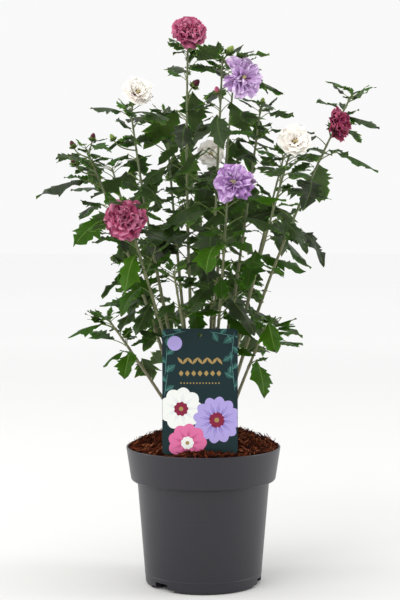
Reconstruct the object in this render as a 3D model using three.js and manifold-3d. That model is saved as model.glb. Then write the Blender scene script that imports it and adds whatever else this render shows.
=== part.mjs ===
// A hibiscus shrub in flower: one clump of canes with red, lilac and white blooms, in its nursery pot
// with a card. Millimetres, +Z up, x to the right and y to the back. The origin is the middle of the
// pot's flat underside.
import * as THREE from "three";
import { mergeVertices } from "three/addons/utils/BufferGeometryUtils.js";
import Module from "manifold-3d";

const wasm = await Module();
wasm.setup();

// Pot: a thin moulded container with a collar below its rim, on three feet with a drain notch
// between each two. seamTurn: where the mesh of its round parts starts
const potHeight = 205;
const rimRadius = 115;
const lipThickness = 3;
const collarBottomRadius = 107.5;
const collarBottomHeight = 155;
const bodyTopRadius = 98.5;
const bodyFootRadius = 86;
const collarRound = 3;
const footRound = 3;
const wall = 2;
const floorHeight = 4;
const footRecess = 4;
const footWidth = 7;
const centrePadRadius = 56;
const channelRadius = 60;
const potSegments = 36;
const seamTurn = 2.3;
const recessCount = 3;
const firstRecessTurn = seamTurn - 138;
const recessWidth = 48;
const notchWidth = 25;
const notchHeight = 11.5;

// Bark mulch: it fills the pot and rises to a flat top where the canes stand
const gap = 0.3;
const soilEdgeHeight = 199;
const soilTop = 227;
const soilTopRadius = 46;
const shoulderShare = { out: 0.45, down: 0.35 };

// Card: it stands in the mulch in front of the canes, on a stake that is part of it
const cardWidth = 108;
const cardBottom = 206;
const cardTop = 387;
const cardThickness = 1;
const cardCentre = { x: -5, y: -90 };
const cardCorner = 6;
const cardHoleRadius = 3;
const cardHoleDrop = 9;
const stakeWidth = 22;
const stakeBottom = 150;
const slotHeight = 60;

// Canes: foot on the mulch [x, y], tip [x, y, z], bow of the middle [x, y], bare length above the mulch,
// seed of the growth and length of a full leaf
const caneFootRadius = 3.2;
const caneTipRadius = 1.4;
const caneFlare = 1.18;
const caneSides = 5;
const caneSteps = 4;
const stemSides = 4;
const stemSteps = 6;
const canes = [
  { name: "left", foot: [-24, -6], tip: [-170, -34, 644], bow: [14, 0], bare: 110, seed: 832, leaf: 72 },
  { name: "right", foot: [27, -3], tip: [216, -14, 722], bow: [-32, 0], bare: 300, seed: 837, leaf: 64 },
  { name: "white_left", foot: [-17, 5], tip: [-108, 14, 706], bow: [-14, 6], bare: 180, seed: 125, leaf: 76 },
  { name: "white_right", foot: [20, -13], tip: [124, -52, 636], bow: [-8, 0], bare: 250, seed: 391, leaf: 76 },
  { name: "top", foot: [-8, 0], tip: [-23, 4, 790], bow: [-14, 8], bare: 160, seed: 652, leaf: 84 },
  { name: "lilac_top", foot: [6, -9], tip: [28, -24, 780], bow: [-2, -6], bare: 160, seed: 631, leaf: 76 },
  { name: "mid_right", foot: [17, 6], tip: [85, 26, 706], bow: [2, 0], bare: 170, seed: 777, leaf: 76 },
  { name: "back_top", foot: [8, 10], tip: [48, 78, 770], bow: [-8, 4], bare: 170, seed: 87, leaf: 84 },
  { name: "front_left", foot: [-12, -17], tip: [-108, -126, 560], bow: [-4, 4], bare: 170, seed: 702, leaf: 64 },
  { name: "front", foot: [8, -22], tip: [34, -128, 590], bow: [4, 8], bare: 100, seed: 571, leaf: 80 },
  { name: "back_left_top", foot: [-12, 14], tip: [-58, 96, 704], bow: [-4, 0], bare: 160, seed: 26, leaf: 80 },
  { name: "back_left", foot: [-24, 14], tip: [-142, 122, 620], bow: [6, -4], bare: 220, seed: 428, leaf: 72 },
  { name: "back_right", foot: [24, 16], tip: [126, 128, 640], bow: [-6, -4], bare: 130, seed: 183, leaf: 80 },
  { name: "back", foot: [0, 26], tip: [-4, 184, 600], bow: [0, -12], bare: 140, seed: 67, leaf: 88 },
  { name: "low_left", foot: [-28, -16], tip: [-138, -52, 398], bow: [4, 0], bare: 110, seed: 419, leaf: 68 },
  { name: "low_right", foot: [30, -18], tip: [104, -84, 424], bow: [-4, 4], bare: 90, seed: 142, leaf: 68 },
  { name: "low_front", foot: [-4, -30], tip: [-42, -118, 470], bow: [0, 12], bare: 80, seed: 50, leaf: 76 },
  { name: "low_back", foot: [12, 30], tip: [52, 128, 450], bow: [0, -8], bare: 110, seed: 162, leaf: 80 },
  { name: "low_back_left", foot: [-18, 28], tip: [-84, 98, 440], bow: [0, -8], bare: 110, seed: 565, leaf: 68 },
];

// Blooms and buds: the cane that carries each, its centre, its diameter, and where it faces as a turn
// round Z (270 is the front) and a rise above the level
const blooms = [
  { cane: "top", at: [-21, -8, 817], across: 54, turn: 275, rise: 30 },
  { cane: "front_left", at: [-109, -136, 544], across: 62, turn: 268, rise: 12 },
  { cane: "right", at: [194, -36, 678], across: 50, turn: 318, rise: 8 },
  { cane: "lilac_top", at: [58, -46, 746], across: 60, turn: 300, rise: 5 },
  { cane: "front", at: [41, -152, 594], across: 60, turn: 262, rise: 15 },
  { cane: "white_left", at: [-96, -22, 727], across: 48, turn: 290, rise: 26 },
  { cane: "white_right", at: [131, -66, 654], across: 50, turn: 272, rise: 20 },
  { cane: "back_top", at: [12, 60, 640], across: 44, turn: 270, rise: 10 },
];
const buds = [
  { cane: "left", at: [-186, -48, 626], across: 17, turn: 225, rise: 60 },
  { cane: "left", at: [-190, -30, 650], across: 12, turn: 170, rise: 65 },
  { cane: "left", at: [-160, -42, 660], across: 12, turn: 330, rise: 75 },
  { cane: "white_left", at: [-134, 4, 662], across: 11, turn: 190, rise: 60 },
  { cane: "lilac_top", at: [20, -34, 728], across: 12, turn: 240, rise: 60 },
  { cane: "lilac_top", at: [38, -30, 786], across: 15, turn: 330, rise: 50 },
  { cane: "top", at: [-12, -4, 740], across: 16, turn: 320, rise: 40 },
  { cane: "mid_right", at: [88, 24, 716], across: 11, turn: 20, rise: 80 },
];

// Growth rule: leaves from the tip of a cane down to its bare part, each a third of a turn and a bit round
// from the last, with smaller leaves in some axils. Lengths in millimetres, angles in degrees.
const leafTurn = 137.5;
const turnSpread = 46;
const rollSpread = 50;
const firstNode = 5;
const nodeSpacing = { tip: 12, low: 27, over: 130 };
const spacingDraw = { least: 0.85, spread: 0.3 };
const youngLeaf = { share: 0.58, over: 50 };
const sizeDraw = { least: 0.84, spread: 0.32 };
const leafPitch = { tip: 16, low: -24, over: 140, spread: 40, axil: 12 };
const axilChance = 0.7;
const axilRise = 6;
const axilSwing = { least: 42, spread: 30 };
const axilSize = { least: 0.5, spread: 0.2 };
const outwardPull = 0.22;
const stalkShare = 0.34;
const stalkLeast = 3;
const stalkLean = { along: 0.55, outward: 0.85 };
const swings = [0, 26, -26, 52, -52, 80, -80];
const gapOtherCane = 10;
const gapSameCane = 5.5;
const gapSameNode = 4.5;
const gapOwnStem = 3.5;
const gapOtherStem = 5;
const lowestLeaf = 245;
const cardKeepOut = { halfWidth: 60, front: -190, back: -80, top: 396 };
const claimCell = 24;
const caneClaimStep = 6;
const flowerClaim = { share: 0.4, radius: 3, bloomPoints: 26, budPoints: 8 };
const goldenTurn = 2.39996;

// Blade: three lobes, a wedge at its stalk, arched down to its tip; shares of its width across
// and of its length along
const bladeWidth = 0.66;
const bladeArch = 0.17;
const bladeThickness = 0.036;
const bladeMiddle = 0.44;
const lobe = [0.5, 0.52];
const sinus = [0.24, 0.6];
const stalkRadius = 0.8;
const smallLeaf = 55;
const bladeSamples = [
  [0, 0.12], [0, 0.38], [0, 0.64], [0, 0.9], [-0.22, 0.26], [0.22, 0.26], [-0.44, 0.42], [0.44, 0.42],
  [-0.22, 0.5], [0.22, 0.5], [-0.16, 0.74], [0.16, 0.74], [0, 1],
];

// Bloom: a full double flower as one rosette with a ring of petal tips, on a twig; shares of the
// bloom's radius
const petalCount = 6;
const petalNotch = 0.8;
const crownShare = 0.66;
const crownRise = 0.34;
const frontRise = 0.42;
const backShare = 0.52;
const backDrop = 0.26;
const calyxDrop = 0.62;
const twigRadius = 1.2;
const twigTaper = 0.8;
const twigSpan = { from: 50, to: 98 };
const twigClimb = { least: 12, weight: 2 };
const budLength = 1.35;

const colours = {
  pot: 0x48474c, mulch: 0x42261a, card: 0x24383b, cane: 0x8a8567, leaf: 0x3d4c2b,
};

const degree = Math.PI / 180;
const upward = new THREE.Vector3(0, 0, 1);

function mix(from, to, share) {
  return from + (to - from) * Math.min(1, Math.max(0, share));
}

function facing(turn, rise) {
  const level = Math.cos(rise * degree);
  const x = Math.cos(turn * degree) * level;
  const y = Math.sin(turn * degree) * level;
  return new THREE.Vector3(x, y, Math.sin(rise * degree));
}

// Random draws that any language repeats: a 32-bit congruential generator
function drawsFrom(seed) {
  let state = (seed * 7919) >>> 0;
  const draw = () => {
    state = (Math.imul(state, 1664525) + 1013904223) >>> 0;
    return state / 4294967296;
  };
  draw();
  draw();
  draw();
  return draw;
}

function solidOf(geometry) {
  geometry.deleteAttribute("normal");
  geometry.deleteAttribute("uv");
  const merged = mergeVertices(geometry, 1e-4);
  return new wasm.Manifold(new wasm.Mesh({
    numProp: 3,
    vertProperties: new Float32Array(merged.attributes.position.array),
    triVerts: new Uint32Array(merged.index.array),
  }));
}

function solidFromPoints(points, faces) {
  const geometry = new THREE.BufferGeometry().setFromPoints(points);
  geometry.setIndex(faces.flat());
  return solidOf(geometry);
}

function meshOf(name, solid, colour, roughness) {
  const { vertProperties, triVerts } = solid.getMesh();
  const geometry = new THREE.BufferGeometry();
  geometry.setAttribute("position", new THREE.BufferAttribute(new Float32Array(vertProperties), 3));
  geometry.setIndex(new THREE.BufferAttribute(new Uint32Array(triVerts), 1));
  geometry.computeVertexNormals();
  const material = new THREE.MeshStandardMaterial({ color: colour, roughness, metalness: 0 });
  const mesh = new THREE.Mesh(geometry, material);
  mesh.name = name;
  return mesh;
}

// Lathed solid about Z from a profile of [radius, height] that starts and ends on the axis
function turned(profile) {
  const points = profile.map(([radius, height]) => new THREE.Vector2(radius, height));
  return solidOf(new THREE.LatheGeometry(points, potSegments, seamTurn * degree).rotateX(Math.PI / 2));
}

function box(width, depth, height, x, y, z) {
  return new THREE.BoxGeometry(width, depth, height).translate(x, y, z);
}

function collarRadius(height) {
  const share = (height - collarBottomHeight) / (potHeight - collarBottomHeight);
  return mix(collarBottomRadius, rimRadius, share);
}

function makePot() {
  let pot = turned([
    [0, 0],
    [centrePadRadius, 0],
    [channelRadius, footRecess],
    [bodyFootRadius - footWidth - 2, footRecess],
    [bodyFootRadius - footWidth, 0],
    [bodyFootRadius - footRound, 0],
    [bodyFootRadius, footRound],
    [bodyTopRadius, collarBottomHeight],
    [collarBottomRadius - collarRound, collarBottomHeight],
    [collarBottomRadius, collarBottomHeight + collarRound],
    [rimRadius, potHeight],
    [rimRadius - lipThickness, potHeight],
    [collarBottomRadius - wall, collarBottomHeight + wall],
    [bodyTopRadius - wall, collarBottomHeight - wall],
    [bodyFootRadius - wall, footRecess + floorHeight],
    [channelRadius, footRecess + floorHeight],
    [centrePadRadius, floorHeight],
    [0, floorHeight],
  ]);
  for (let i = 0; i < recessCount; i++) {
    const turn = (firstRecessTurn + (i * 360) / recessCount) * degree;
    const middle = bodyFootRadius - footWidth / 2;
    const recess = box(3 * footWidth, recessWidth, 2 * footRecess, middle, 0, 0).rotateZ(turn);
    const skin = bodyFootRadius - wall / 2;
    const notch = box(4 * wall, notchWidth, 2 * notchHeight, skin, 0, 0).rotateZ(turn);
    pot = pot.subtract(solidOf(recess)).subtract(solidOf(notch));
  }
  return pot;
}

function cardSlot() {
  const depth = cardThickness + 2 * gap;
  const { x, y } = cardCentre;
  const head = box(cardWidth + 2 * gap, depth, slotHeight, x, y, cardBottom - gap + slotHeight / 2);
  const bottom = stakeBottom - gap;
  const stakeHeight = cardBottom + slotHeight / 2 - bottom;
  const stake = box(stakeWidth + 2 * gap, depth, stakeHeight, x, y, bottom + stakeHeight / 2);
  return solidOf(head).add(solidOf(stake));
}

function makeMulch() {
  const inside = wall + gap;
  const floor = footRecess + floorHeight + gap;
  const mound = turned([
    [0, floorHeight + gap],
    [centrePadRadius - gap, floorHeight + gap],
    [channelRadius - gap, floor],
    [bodyFootRadius - inside, floor],
    [bodyTopRadius - inside, collarBottomHeight - wall + gap],
    [collarBottomRadius - inside, collarBottomHeight + wall + gap],
    [collarRadius(soilEdgeHeight) - lipThickness - gap, soilEdgeHeight],
    [
      mix(soilTopRadius, rimRadius, shoulderShare.out),
      mix(soilTop, soilEdgeHeight, shoulderShare.down),
    ],
    [soilTopRadius, soilTop],
    [0, soilTop],
  ]);
  return mound.subtract(cardSlot());
}

function makeCard() {
  const left = cardCentre.x - cardWidth / 2;
  const right = cardCentre.x + cardWidth / 2;
  const outline = new THREE.Shape();
  outline.moveTo(cardCentre.x - stakeWidth / 2, stakeBottom);
  outline.lineTo(cardCentre.x + stakeWidth / 2, stakeBottom);
  outline.lineTo(cardCentre.x + stakeWidth / 2, cardBottom);
  outline.lineTo(right, cardBottom);
  outline.lineTo(right, cardTop - cardCorner);
  outline.absarc(right - cardCorner, cardTop - cardCorner, cardCorner, 0, Math.PI / 2);
  outline.lineTo(left + cardCorner, cardTop);
  outline.absarc(left + cardCorner, cardTop - cardCorner, cardCorner, Math.PI / 2, Math.PI);
  outline.lineTo(left, cardBottom);
  outline.lineTo(cardCentre.x - stakeWidth / 2, cardBottom);
  const hole = new THREE.Path();
  hole.absarc(cardCentre.x, cardTop - cardHoleDrop, cardHoleRadius, 0, 2 * Math.PI);
  outline.holes.push(hole);
  const settings = { depth: cardThickness, bevelEnabled: false, curveSegments: 5 };
  const plate = new THREE.ExtrudeGeometry(outline, settings).rotateX(Math.PI / 2);
  return solidOf(plate.translate(0, cardCentre.y + cardThickness / 2, 0));
}

function curveOf(cane) {
  const foot = new THREE.Vector3(cane.foot[0], cane.foot[1], soilTop + gap);
  const tip = new THREE.Vector3(...cane.tip);
  const middle = foot.clone().lerp(tip, 0.5).add(new THREE.Vector3(...cane.bow, 0));
  return new THREE.QuadraticBezierCurve3(foot, middle, tip);
}

function directionAt(curve, share) {
  const start = curve.v1.clone().sub(curve.v0);
  return start.lerp(curve.v2.clone().sub(curve.v1), share).normalize();
}

function stemRadius(share) {
  return mix(caneFootRadius, caneTipRadius, share);
}

// A straight tapered cylinder bent along its cane; at the mulch its end is cut level and a little wider
function limb(curve, from, to, sides, steps) {
  const geometry = new THREE.CylinderGeometry(1, 1, 1, sides, steps).translate(0, 0.5, 0);
  const spots = geometry.attributes.position;
  for (let i = 0; i < spots.count; i++) {
    const share = mix(from, to, spots.getY(i));
    const along = share === 0 ? upward : directionAt(curve, share);
    const radius = stemRadius(share) * (share === 0 ? caneFlare : 1);
    const side = new THREE.Vector3(1, 0, 0).addScaledVector(along, -along.x).normalize();
    const front = new THREE.Vector3().crossVectors(side, along);
    const spot = curve.getPoint(share);
    spot.addScaledVector(side, spots.getX(i) * radius);
    spot.addScaledVector(front, spots.getZ(i) * radius);
    spots.setXYZ(i, spot.x, spot.y, spot.z);
  }
  return solidOf(geometry);
}

function turnFromY(direction) {
  return new THREE.Quaternion().setFromUnitVectors(new THREE.Vector3(0, 1, 0), direction);
}

function twig(from, to) {
  const reach = to.clone().sub(from);
  const length = reach.length();
  const geometry = new THREE.CylinderGeometry(twigRadius * twigTaper, twigRadius, length, 3, 1);
  geometry.translate(0, length / 2, 0);
  geometry.applyQuaternion(turnFromY(reach.normalize()));
  return solidOf(geometry.translate(from.x, from.y, from.z));
}

// A leaf: where its stalk leaves the stem, where its blade starts, the blade's frame and its length
function leafAt(root, along, turn, pitch, roll, length) {
  const rise = along.clone().multiplyScalar(stalkLean.along);
  rise.addScaledVector(facing(turn, 0), stalkLean.outward).normalize();
  const base = root.clone().addScaledVector(rise, stalkShare * length + stalkLeast);
  const axis = facing(turn, pitch);
  const side = new THREE.Vector3().crossVectors(axis, upward).normalize();
  const top = new THREE.Vector3().crossVectors(side, axis);
  side.applyAxisAngle(axis, roll * degree);
  top.applyAxisAngle(axis, roll * degree);
  return { root, base, axis, side, top, length };
}

function pointOn(leaf, across, share) {
  const drop = bladeArch * (share * share + across * across);
  return leaf.base.clone()
    .addScaledVector(leaf.side, across * bladeWidth * leaf.length)
    .addScaledVector(leaf.axis, share * leaf.length)
    .addScaledVector(leaf.top, -drop * leaf.length);
}

// Three-sided section of a stalk: left, right and below
function stalkSection(centre, side, top) {
  return [[-0.87, 0.5], [0.87, 0.5], [0, -1]].map(([across, height]) => centre.clone()
    .addScaledVector(side, across * stalkRadius)
    .addScaledVector(top, height * stalkRadius));
}

// One closed solid: the stalk with its root in the stem, and a blade that is thickest in its middle
function leafSolid(leaf) {
  const { root, base, side, top, length } = leaf;
  const foot = stalkSection(root, side, top);
  const neck = stalkSection(base, side, top);
  const half = length < smallLeaf ? [lobe] : [lobe, sinus];
  const right = half.map(([across, share]) => pointOn(leaf, across, share));
  const left = half.map(([across, share]) => pointOn(leaf, -across, share)).reverse();
  const above = pointOn(leaf, 0, bladeMiddle).addScaledVector(top, (bladeThickness * length) / 2);
  const below = pointOn(leaf, 0, bladeMiddle).addScaledVector(top, (-bladeThickness * length) / 2);
  const points = [...foot, ...neck, above, below, ...right, pointOn(leaf, 0, 1), ...left];
  const rim = [4, ...points.keys()].filter((i) => i === 4 || i > 7).concat(3);
  const faces = [
    [0, 2, 1], [0, 1, 4], [0, 4, 3], [1, 2, 5], [1, 5, 4], [2, 0, 3], [2, 3, 5], [6, 3, 4],
  ];
  for (let i = 0; i + 1 < rim.length; i++) {
    faces.push([6, rim[i], rim[i + 1]], [7, rim[i + 1], rim[i]]);
  }
  faces.push([7, 5, 3], [7, 4, 5]);
  return solidFromPoints(points, faces);
}

function frameFacing(flower) {
  const face = facing(flower.turn, flower.rise);
  const side = new THREE.Vector3().crossVectors(upward, face).normalize();
  const top = new THREE.Vector3().crossVectors(face, side);
  return { centre: new THREE.Vector3(...flower.at), face, side, top, radius: flower.across / 2 };
}

// Rings of points from the calyx to the front: back, tips and notches of the petals, crown
function rosetteSolid(frame) {
  const geometry = new THREE.SphereGeometry(1, 2 * petalCount, 4);
  const spots = geometry.attributes.position;
  const rings = [
    { radius: 0, height: frontRise },
    { radius: crownShare, height: crownRise },
    { radius: 1, height: 0 },
    { radius: backShare, height: -backDrop },
    { radius: 0, height: -calyxDrop },
  ];
  for (let i = 0; i < spots.count; i++) {
    const ring = Math.floor(i / (2 * petalCount + 1));
    const step = i % (2 * petalCount + 1);
    const turn = (step * Math.PI) / petalCount;
    const radius = rings[ring].radius * (step % 2 === 1 ? petalNotch : 1) * frame.radius;
    const spot = frame.centre.clone()
      .addScaledVector(frame.side, Math.cos(turn) * radius)
      .addScaledVector(frame.top, Math.sin(turn) * radius)
      .addScaledVector(frame.face, rings[ring].height * frame.radius);
    spots.setXYZ(i, spot.x, spot.y, spot.z);
  }
  return solidOf(geometry);
}

// A ball drawn out along the way the flower faces
function ballSolid(frame, length, width) {
  const geometry = new THREE.IcosahedronGeometry(1, 0).scale(width, length, width);
  geometry.applyQuaternion(turnFromY(frame.face));
  return solidOf(geometry.translate(frame.centre.x, frame.centre.y, frame.centre.z));
}

// The point of a cane that a flower's twig leaves from: near the flower and lower than it
function twigRoot(curve, base) {
  let best = { far: Infinity };
  for (let step = twigSpan.from; step <= twigSpan.to; step++) {
    const spot = curve.getPoint(step / 100);
    const tooHigh = Math.max(0, spot.z - base.z + twigClimb.least);
    const far = spot.distanceTo(base) + twigClimb.weight * tooHigh;
    if (far < best.far) {
      best = { far, spot };
    }
  }
  return best.spot;
}

function bloomSolids(bloom, curve) {
  const frame = frameFacing(bloom);
  const base = frame.centre.clone().addScaledVector(frame.face, -0.5 * calyxDrop * frame.radius);
  return [rosetteSolid(frame), twig(twigRoot(curve, base), base)];
}

function budSolids(bud, curve) {
  const frame = frameFacing(bud);
  const base = frame.centre.clone().addScaledVector(frame.face, -frame.radius);
  const ball = ballSolid(frame, budLength * frame.radius, frame.radius);
  return [ball, twig(twigRoot(curve, base), base)];
}

// Space that is taken, kept as points in a grid of cells: each with its cane, its place in the order
// and its radius
function makeClaims() {
  const cells = new Map();
  const cellOf = (value) => Math.floor(value / claimCell);
  const keyOf = (i, j, k) => (i + 100) * 1e6 + (j + 100) * 1e3 + (k + 100);
  const claim = (spot, cane, order, radius) => {
    const key = keyOf(cellOf(spot.x), cellOf(spot.y), cellOf(spot.z));
    if (!cells.has(key)) {
      cells.set(key, []);
    }
    cells.get(key).push({ spot, cane, order, radius });
  };
  const tooNear = (spot, cane, order, onStem) => (taken) => {
    const own = taken.cane === cane;
    if (own && onStem && (taken.order === order || taken.radius > 0)) {
      return false;
    }
    const toLeaf = own ? (taken.order === order ? gapSameNode : gapSameCane) : gapOtherCane;
    const around = taken.radius > 0 ? taken.radius + (own ? gapOwnStem : gapOtherStem) : toLeaf;
    return taken.spot.distanceToSquared(spot) < around * around;
  };
  const free = (spot, cane, order, onStem) => {
    const nearCard = spot.z < cardKeepOut.top && Math.abs(spot.x) < cardKeepOut.halfWidth
      && spot.y < cardKeepOut.back && spot.y > cardKeepOut.front;
    if (spot.z < lowestLeaf || nearCard) {
      return false;
    }
    const test = tooNear(spot, cane, order, onStem);
    for (let i = cellOf(spot.x) - 1; i <= cellOf(spot.x) + 1; i++) {
      for (let j = cellOf(spot.y) - 1; j <= cellOf(spot.y) + 1; j++) {
        for (let k = cellOf(spot.z) - 1; k <= cellOf(spot.z) + 1; k++) {
          if ((cells.get(keyOf(i, j, k)) ?? []).some(test)) {
            return false;
          }
        }
      }
    }
    return true;
  };
  return { claim, free };
}

// Points over the ball that a bloom or bud fills, on a spiral
function claimFlower(claims, flower, count) {
  const cane = canes.findIndex(({ name }) => name === flower.cane);
  for (let i = 0; i < count; i++) {
    const height = 1 - (2 * i + 1) / count;
    const level = Math.sqrt(1 - height * height);
    const turn = i * goldenTurn;
    const spot = new THREE.Vector3(level * Math.cos(turn), level * Math.sin(turn), height);
    spot.multiplyScalar(flower.across * flowerClaim.share).add(new THREE.Vector3(...flower.at));
    claims.claim(spot, cane, -2, flowerClaim.radius);
  }
}

function drawWithin(draw, { least, spread }) {
  return least + spread * draw();
}

// Leaves of one cane, from its tip down
function growLeaves(cane, index, curve, claims) {
  const total = curve.getLength();
  const draw = drawsFrom(cane.seed);
  const firstTurn = draw() * 360;
  const leaves = [];
  let back = firstNode;
  for (let order = 0; back < total - cane.bare; order++) {
    const share = 1 - back / total;
    const root = curve.getPoint(share);
    const along = directionAt(curve, share);
    const outward = Math.atan2(root.y, root.x) / degree;
    const age = mix(youngLeaf.share, 1, back / youngLeaf.over);
    const full = cane.leaf * age * drawWithin(draw, sizeDraw);
    const hasAxilLeaf = draw() < axilChance;
    const axilSide = draw() < 0.5 ? -1 : 1;
    const axilLeaf = { swing: axilSide * drawWithin(draw, axilSwing), size: drawWithin(draw, axilSize) };
    const wanted = [{ swing: 0, size: 1 }].concat(hasAxilLeaf ? axilLeaf : []);
    const wander = (draw() - 0.5) * turnSpread;
    const nod = (draw() - 0.5) * leafPitch.spread;
    const roll = (draw() - 0.5) * rollSpread;
    for (const { swing, size } of wanted) {
      const turn = firstTurn + order * leafTurn + wander + swing;
      const off = ((((outward - turn) % 360) + 540) % 360) - 180;
      const droop = mix(leafPitch.tip, leafPitch.low, back / leafPitch.over);
      const pitch = droop + nod + (size < 1 ? leafPitch.axil : 0);
      const foot = size < 1 ? root.clone().addScaledVector(along, axilRise) : root;
      for (const swung of swings) {
        const leaf = leafAt(foot, along, turn + off * outwardPull + swung, pitch, roll, full * size);
        const blade = bladeSamples.map(([across, far]) => pointOn(leaf, across, far));
        const stalk = [foot.clone().lerp(leaf.base, 0.6), leaf.base];
        const clear = blade.every((spot) => claims.free(spot, index, order, false))
          && stalk.every((spot) => claims.free(spot, index, order, true));
        if (clear) {
          [...blade, ...stalk].forEach((spot) => claims.claim(spot, index, order, 0));
          leaves.push(leaf);
          break;
        }
      }
    }
    const spacing = mix(nodeSpacing.tip, nodeSpacing.low, back / nodeSpacing.over);
    back += spacing * drawWithin(draw, spacingDraw);
  }
  return leaves;
}

function boxesMeet(a, b) {
  return [0, 1, 2].every((i) => a.min[i] < b.max[i] + gap && b.min[i] < a.max[i] + gap);
}

// The bough and the mass of each cane; a leaf that meets another solid is left out
function growShrub(neighbours) {
  const curves = canes.map(curveOf);
  const claims = makeClaims();
  canes.forEach((cane, index) => {
    const steps = Math.ceil(curves[index].getLength() / caneClaimStep);
    for (let i = 0; i <= steps; i++) {
      claims.claim(curves[index].getPoint(i / steps), index, -1, stemRadius(i / steps));
    }
  });
  blooms.forEach((bloom) => claimFlower(claims, bloom, flowerClaim.bloomPoints));
  buds.forEach((bud) => claimFlower(claims, bud, flowerClaim.budPoints));

  const kept = [];
  const keep = (solid, index) => kept.push({ solid, index, box: solid.boundingBox() });
  const bare = canes.map((cane, index) => cane.bare / curves[index].getLength());
  const boughs = canes.map((cane, index) => limb(curves[index], 0, bare[index], caneSides, caneSteps));
  [...neighbours, ...boughs].forEach((solid) => keep(solid, -1));
  canes.forEach((cane, index) => {
    const start = bare[index] + gap / curves[index].getLength();
    keep(limb(curves[index], start, 1, stemSides, stemSteps), index);
    blooms.filter((bloom) => bloom.cane === cane.name)
      .forEach((bloom) => bloomSolids(bloom, curves[index]).forEach((solid) => keep(solid, index)));
    buds.filter((bud) => bud.cane === cane.name)
      .forEach((bud) => budSolids(bud, curves[index]).forEach((solid) => keep(solid, index)));
  });
  canes.forEach((cane, index) => {
    for (const leaf of growLeaves(cane, index, curves[index], claims)) {
      const solid = leafSolid(leaf);
      const reach = solid.boundingBox();
      const meets = kept.some((other) => other.index !== index && boxesMeet(reach, other.box)
        && !solid.intersect(other.solid).isEmpty());
      if (!meets) {
        keep(solid, index);
      }
    }
  });

  const masses = canes.map((cane, index) => {
    const parts = kept.filter((part) => part.index === index).map((part) => part.solid);
    const pieces = wasm.Manifold.union(parts).simplify(0.01).decompose();
    return pieces.reduce((largest, piece) => (piece.volume() > largest.volume() ? piece : largest));
  });
  return { boughs, masses };
}

const shrub = new THREE.Group();
const pot = makePot();
const mulch = makeMulch();
const card = makeCard();
const { boughs, masses } = growShrub([pot, mulch, card]);
shrub.add(meshOf("pot", pot, colours.pot, 0.45));
shrub.add(meshOf("mulch", mulch, colours.mulch, 0.95));
shrub.add(meshOf("card", card, colours.card, 0.3));
canes.forEach(({ name }, index) => {
  shrub.add(meshOf(`cane_${name}`, boughs[index], colours.cane, 0.8));
  shrub.add(meshOf(`foliage_${name}`, masses[index], colours.leaf, 0.6));
});

export default shrub;
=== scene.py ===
from math import atan2, ceil, cos, exp, fmod, hypot, pi, sin, sqrt

import bmesh
import bpy
import numpy as np
from mathutils import Matrix, Vector, noise


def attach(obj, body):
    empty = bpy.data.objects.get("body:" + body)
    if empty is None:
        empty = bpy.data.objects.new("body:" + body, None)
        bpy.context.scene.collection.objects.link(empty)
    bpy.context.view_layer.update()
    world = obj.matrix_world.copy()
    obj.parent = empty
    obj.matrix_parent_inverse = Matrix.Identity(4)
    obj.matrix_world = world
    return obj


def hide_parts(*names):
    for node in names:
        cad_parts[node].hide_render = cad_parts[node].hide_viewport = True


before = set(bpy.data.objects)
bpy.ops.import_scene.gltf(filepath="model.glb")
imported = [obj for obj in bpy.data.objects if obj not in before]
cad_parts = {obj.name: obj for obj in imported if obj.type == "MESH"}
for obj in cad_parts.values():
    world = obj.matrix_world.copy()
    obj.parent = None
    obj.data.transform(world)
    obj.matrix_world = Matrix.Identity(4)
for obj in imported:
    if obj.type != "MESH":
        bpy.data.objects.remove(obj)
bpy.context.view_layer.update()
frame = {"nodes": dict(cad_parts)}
mm = 0.001
degree = pi / 180
print("frame loaded:", len(frame["nodes"]), "nodes")


def shade(code):  # sRGB hex to Blender's linear colour
    parts = [int(code[i:i + 2], 16) / 255 for i in (1, 3, 5)]
    return [p / 12.92 if p <= 0.04045 else ((p + 0.055) / 1.055) ** 2.4 for p in parts] + [1.0]


def grey(level):
    return (level, level, level, 1.0)


def per(size):  # scale of a pattern from its real size in millimetres
    return 1 / (size * mm)


# A material, and the function that adds a node to it
def newMaterial(name):
    material = bpy.data.materials.new(name)
    material.use_nodes = True

    def addNode(kind, values, output=0):
        node = material.node_tree.nodes.new(kind)
        fillNode(material, node, values)
        return node.outputs[output]
    return material, addNode


# Values of a node: a socket is linked, anything else is set
def fillNode(material, node, values):
    for name, value in values.items():
        if name == "stops":
            stops = node.color_ramp.elements
            while len(stops) < len(value):
                stops.new(1.0)
            for stop, (place, colour) in zip(stops, value):
                stop.position = place
                stop.color = colour
        elif isinstance(value, bpy.types.NodeSocket):
            material.node_tree.links.new(value, node.inputs[name])
        elif isinstance(name, int) or name in node.inputs:
            node.inputs[name].default_value = value
        else:
            setattr(node, name, value)



def finished(material, values):
    fillNode(material, material.node_tree.nodes["Principled BSDF"], values)
    return material


# Random draws that the part's source makes in the same way: a 32-bit congruential generator
def drawsFrom(seed):
    state = (seed * 7919) % 2 ** 32

    def draw(low=0.0, high=1.0):
        nonlocal state
        state = (state * 1664525 + 1013904223) % 2 ** 32
        return low + (high - low) * state / 2 ** 32
    for _ in range(3):
        draw()
    return draw


def mix(start, end, share):
    return start + (end - start) * min(1.0, max(0.0, share))


def ramp(figures, back):  # from the first figure to the second over the length that is the third
    return mix(figures[0], figures[1], back / figures[2])


def placeObject(name, data):
    holder = bpy.data.objects.new(name, data)
    bpy.context.scene.collection.objects.link(holder)
    return holder


def addPiece(name, mesh, materials, stands=()):
    piece = placeObject(name, mesh)
    for material in materials:
        mesh.materials.append(material)
    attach(piece, "root")
    if stands:
        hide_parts(*stands)
    print(name + ":", len(mesh.polygons), "faces")


def smoothMesh(mesh, angle):
    mesh.shade_smooth()
    mesh.set_sharp_from_angle(angle=angle * degree)
    return mesh


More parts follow.
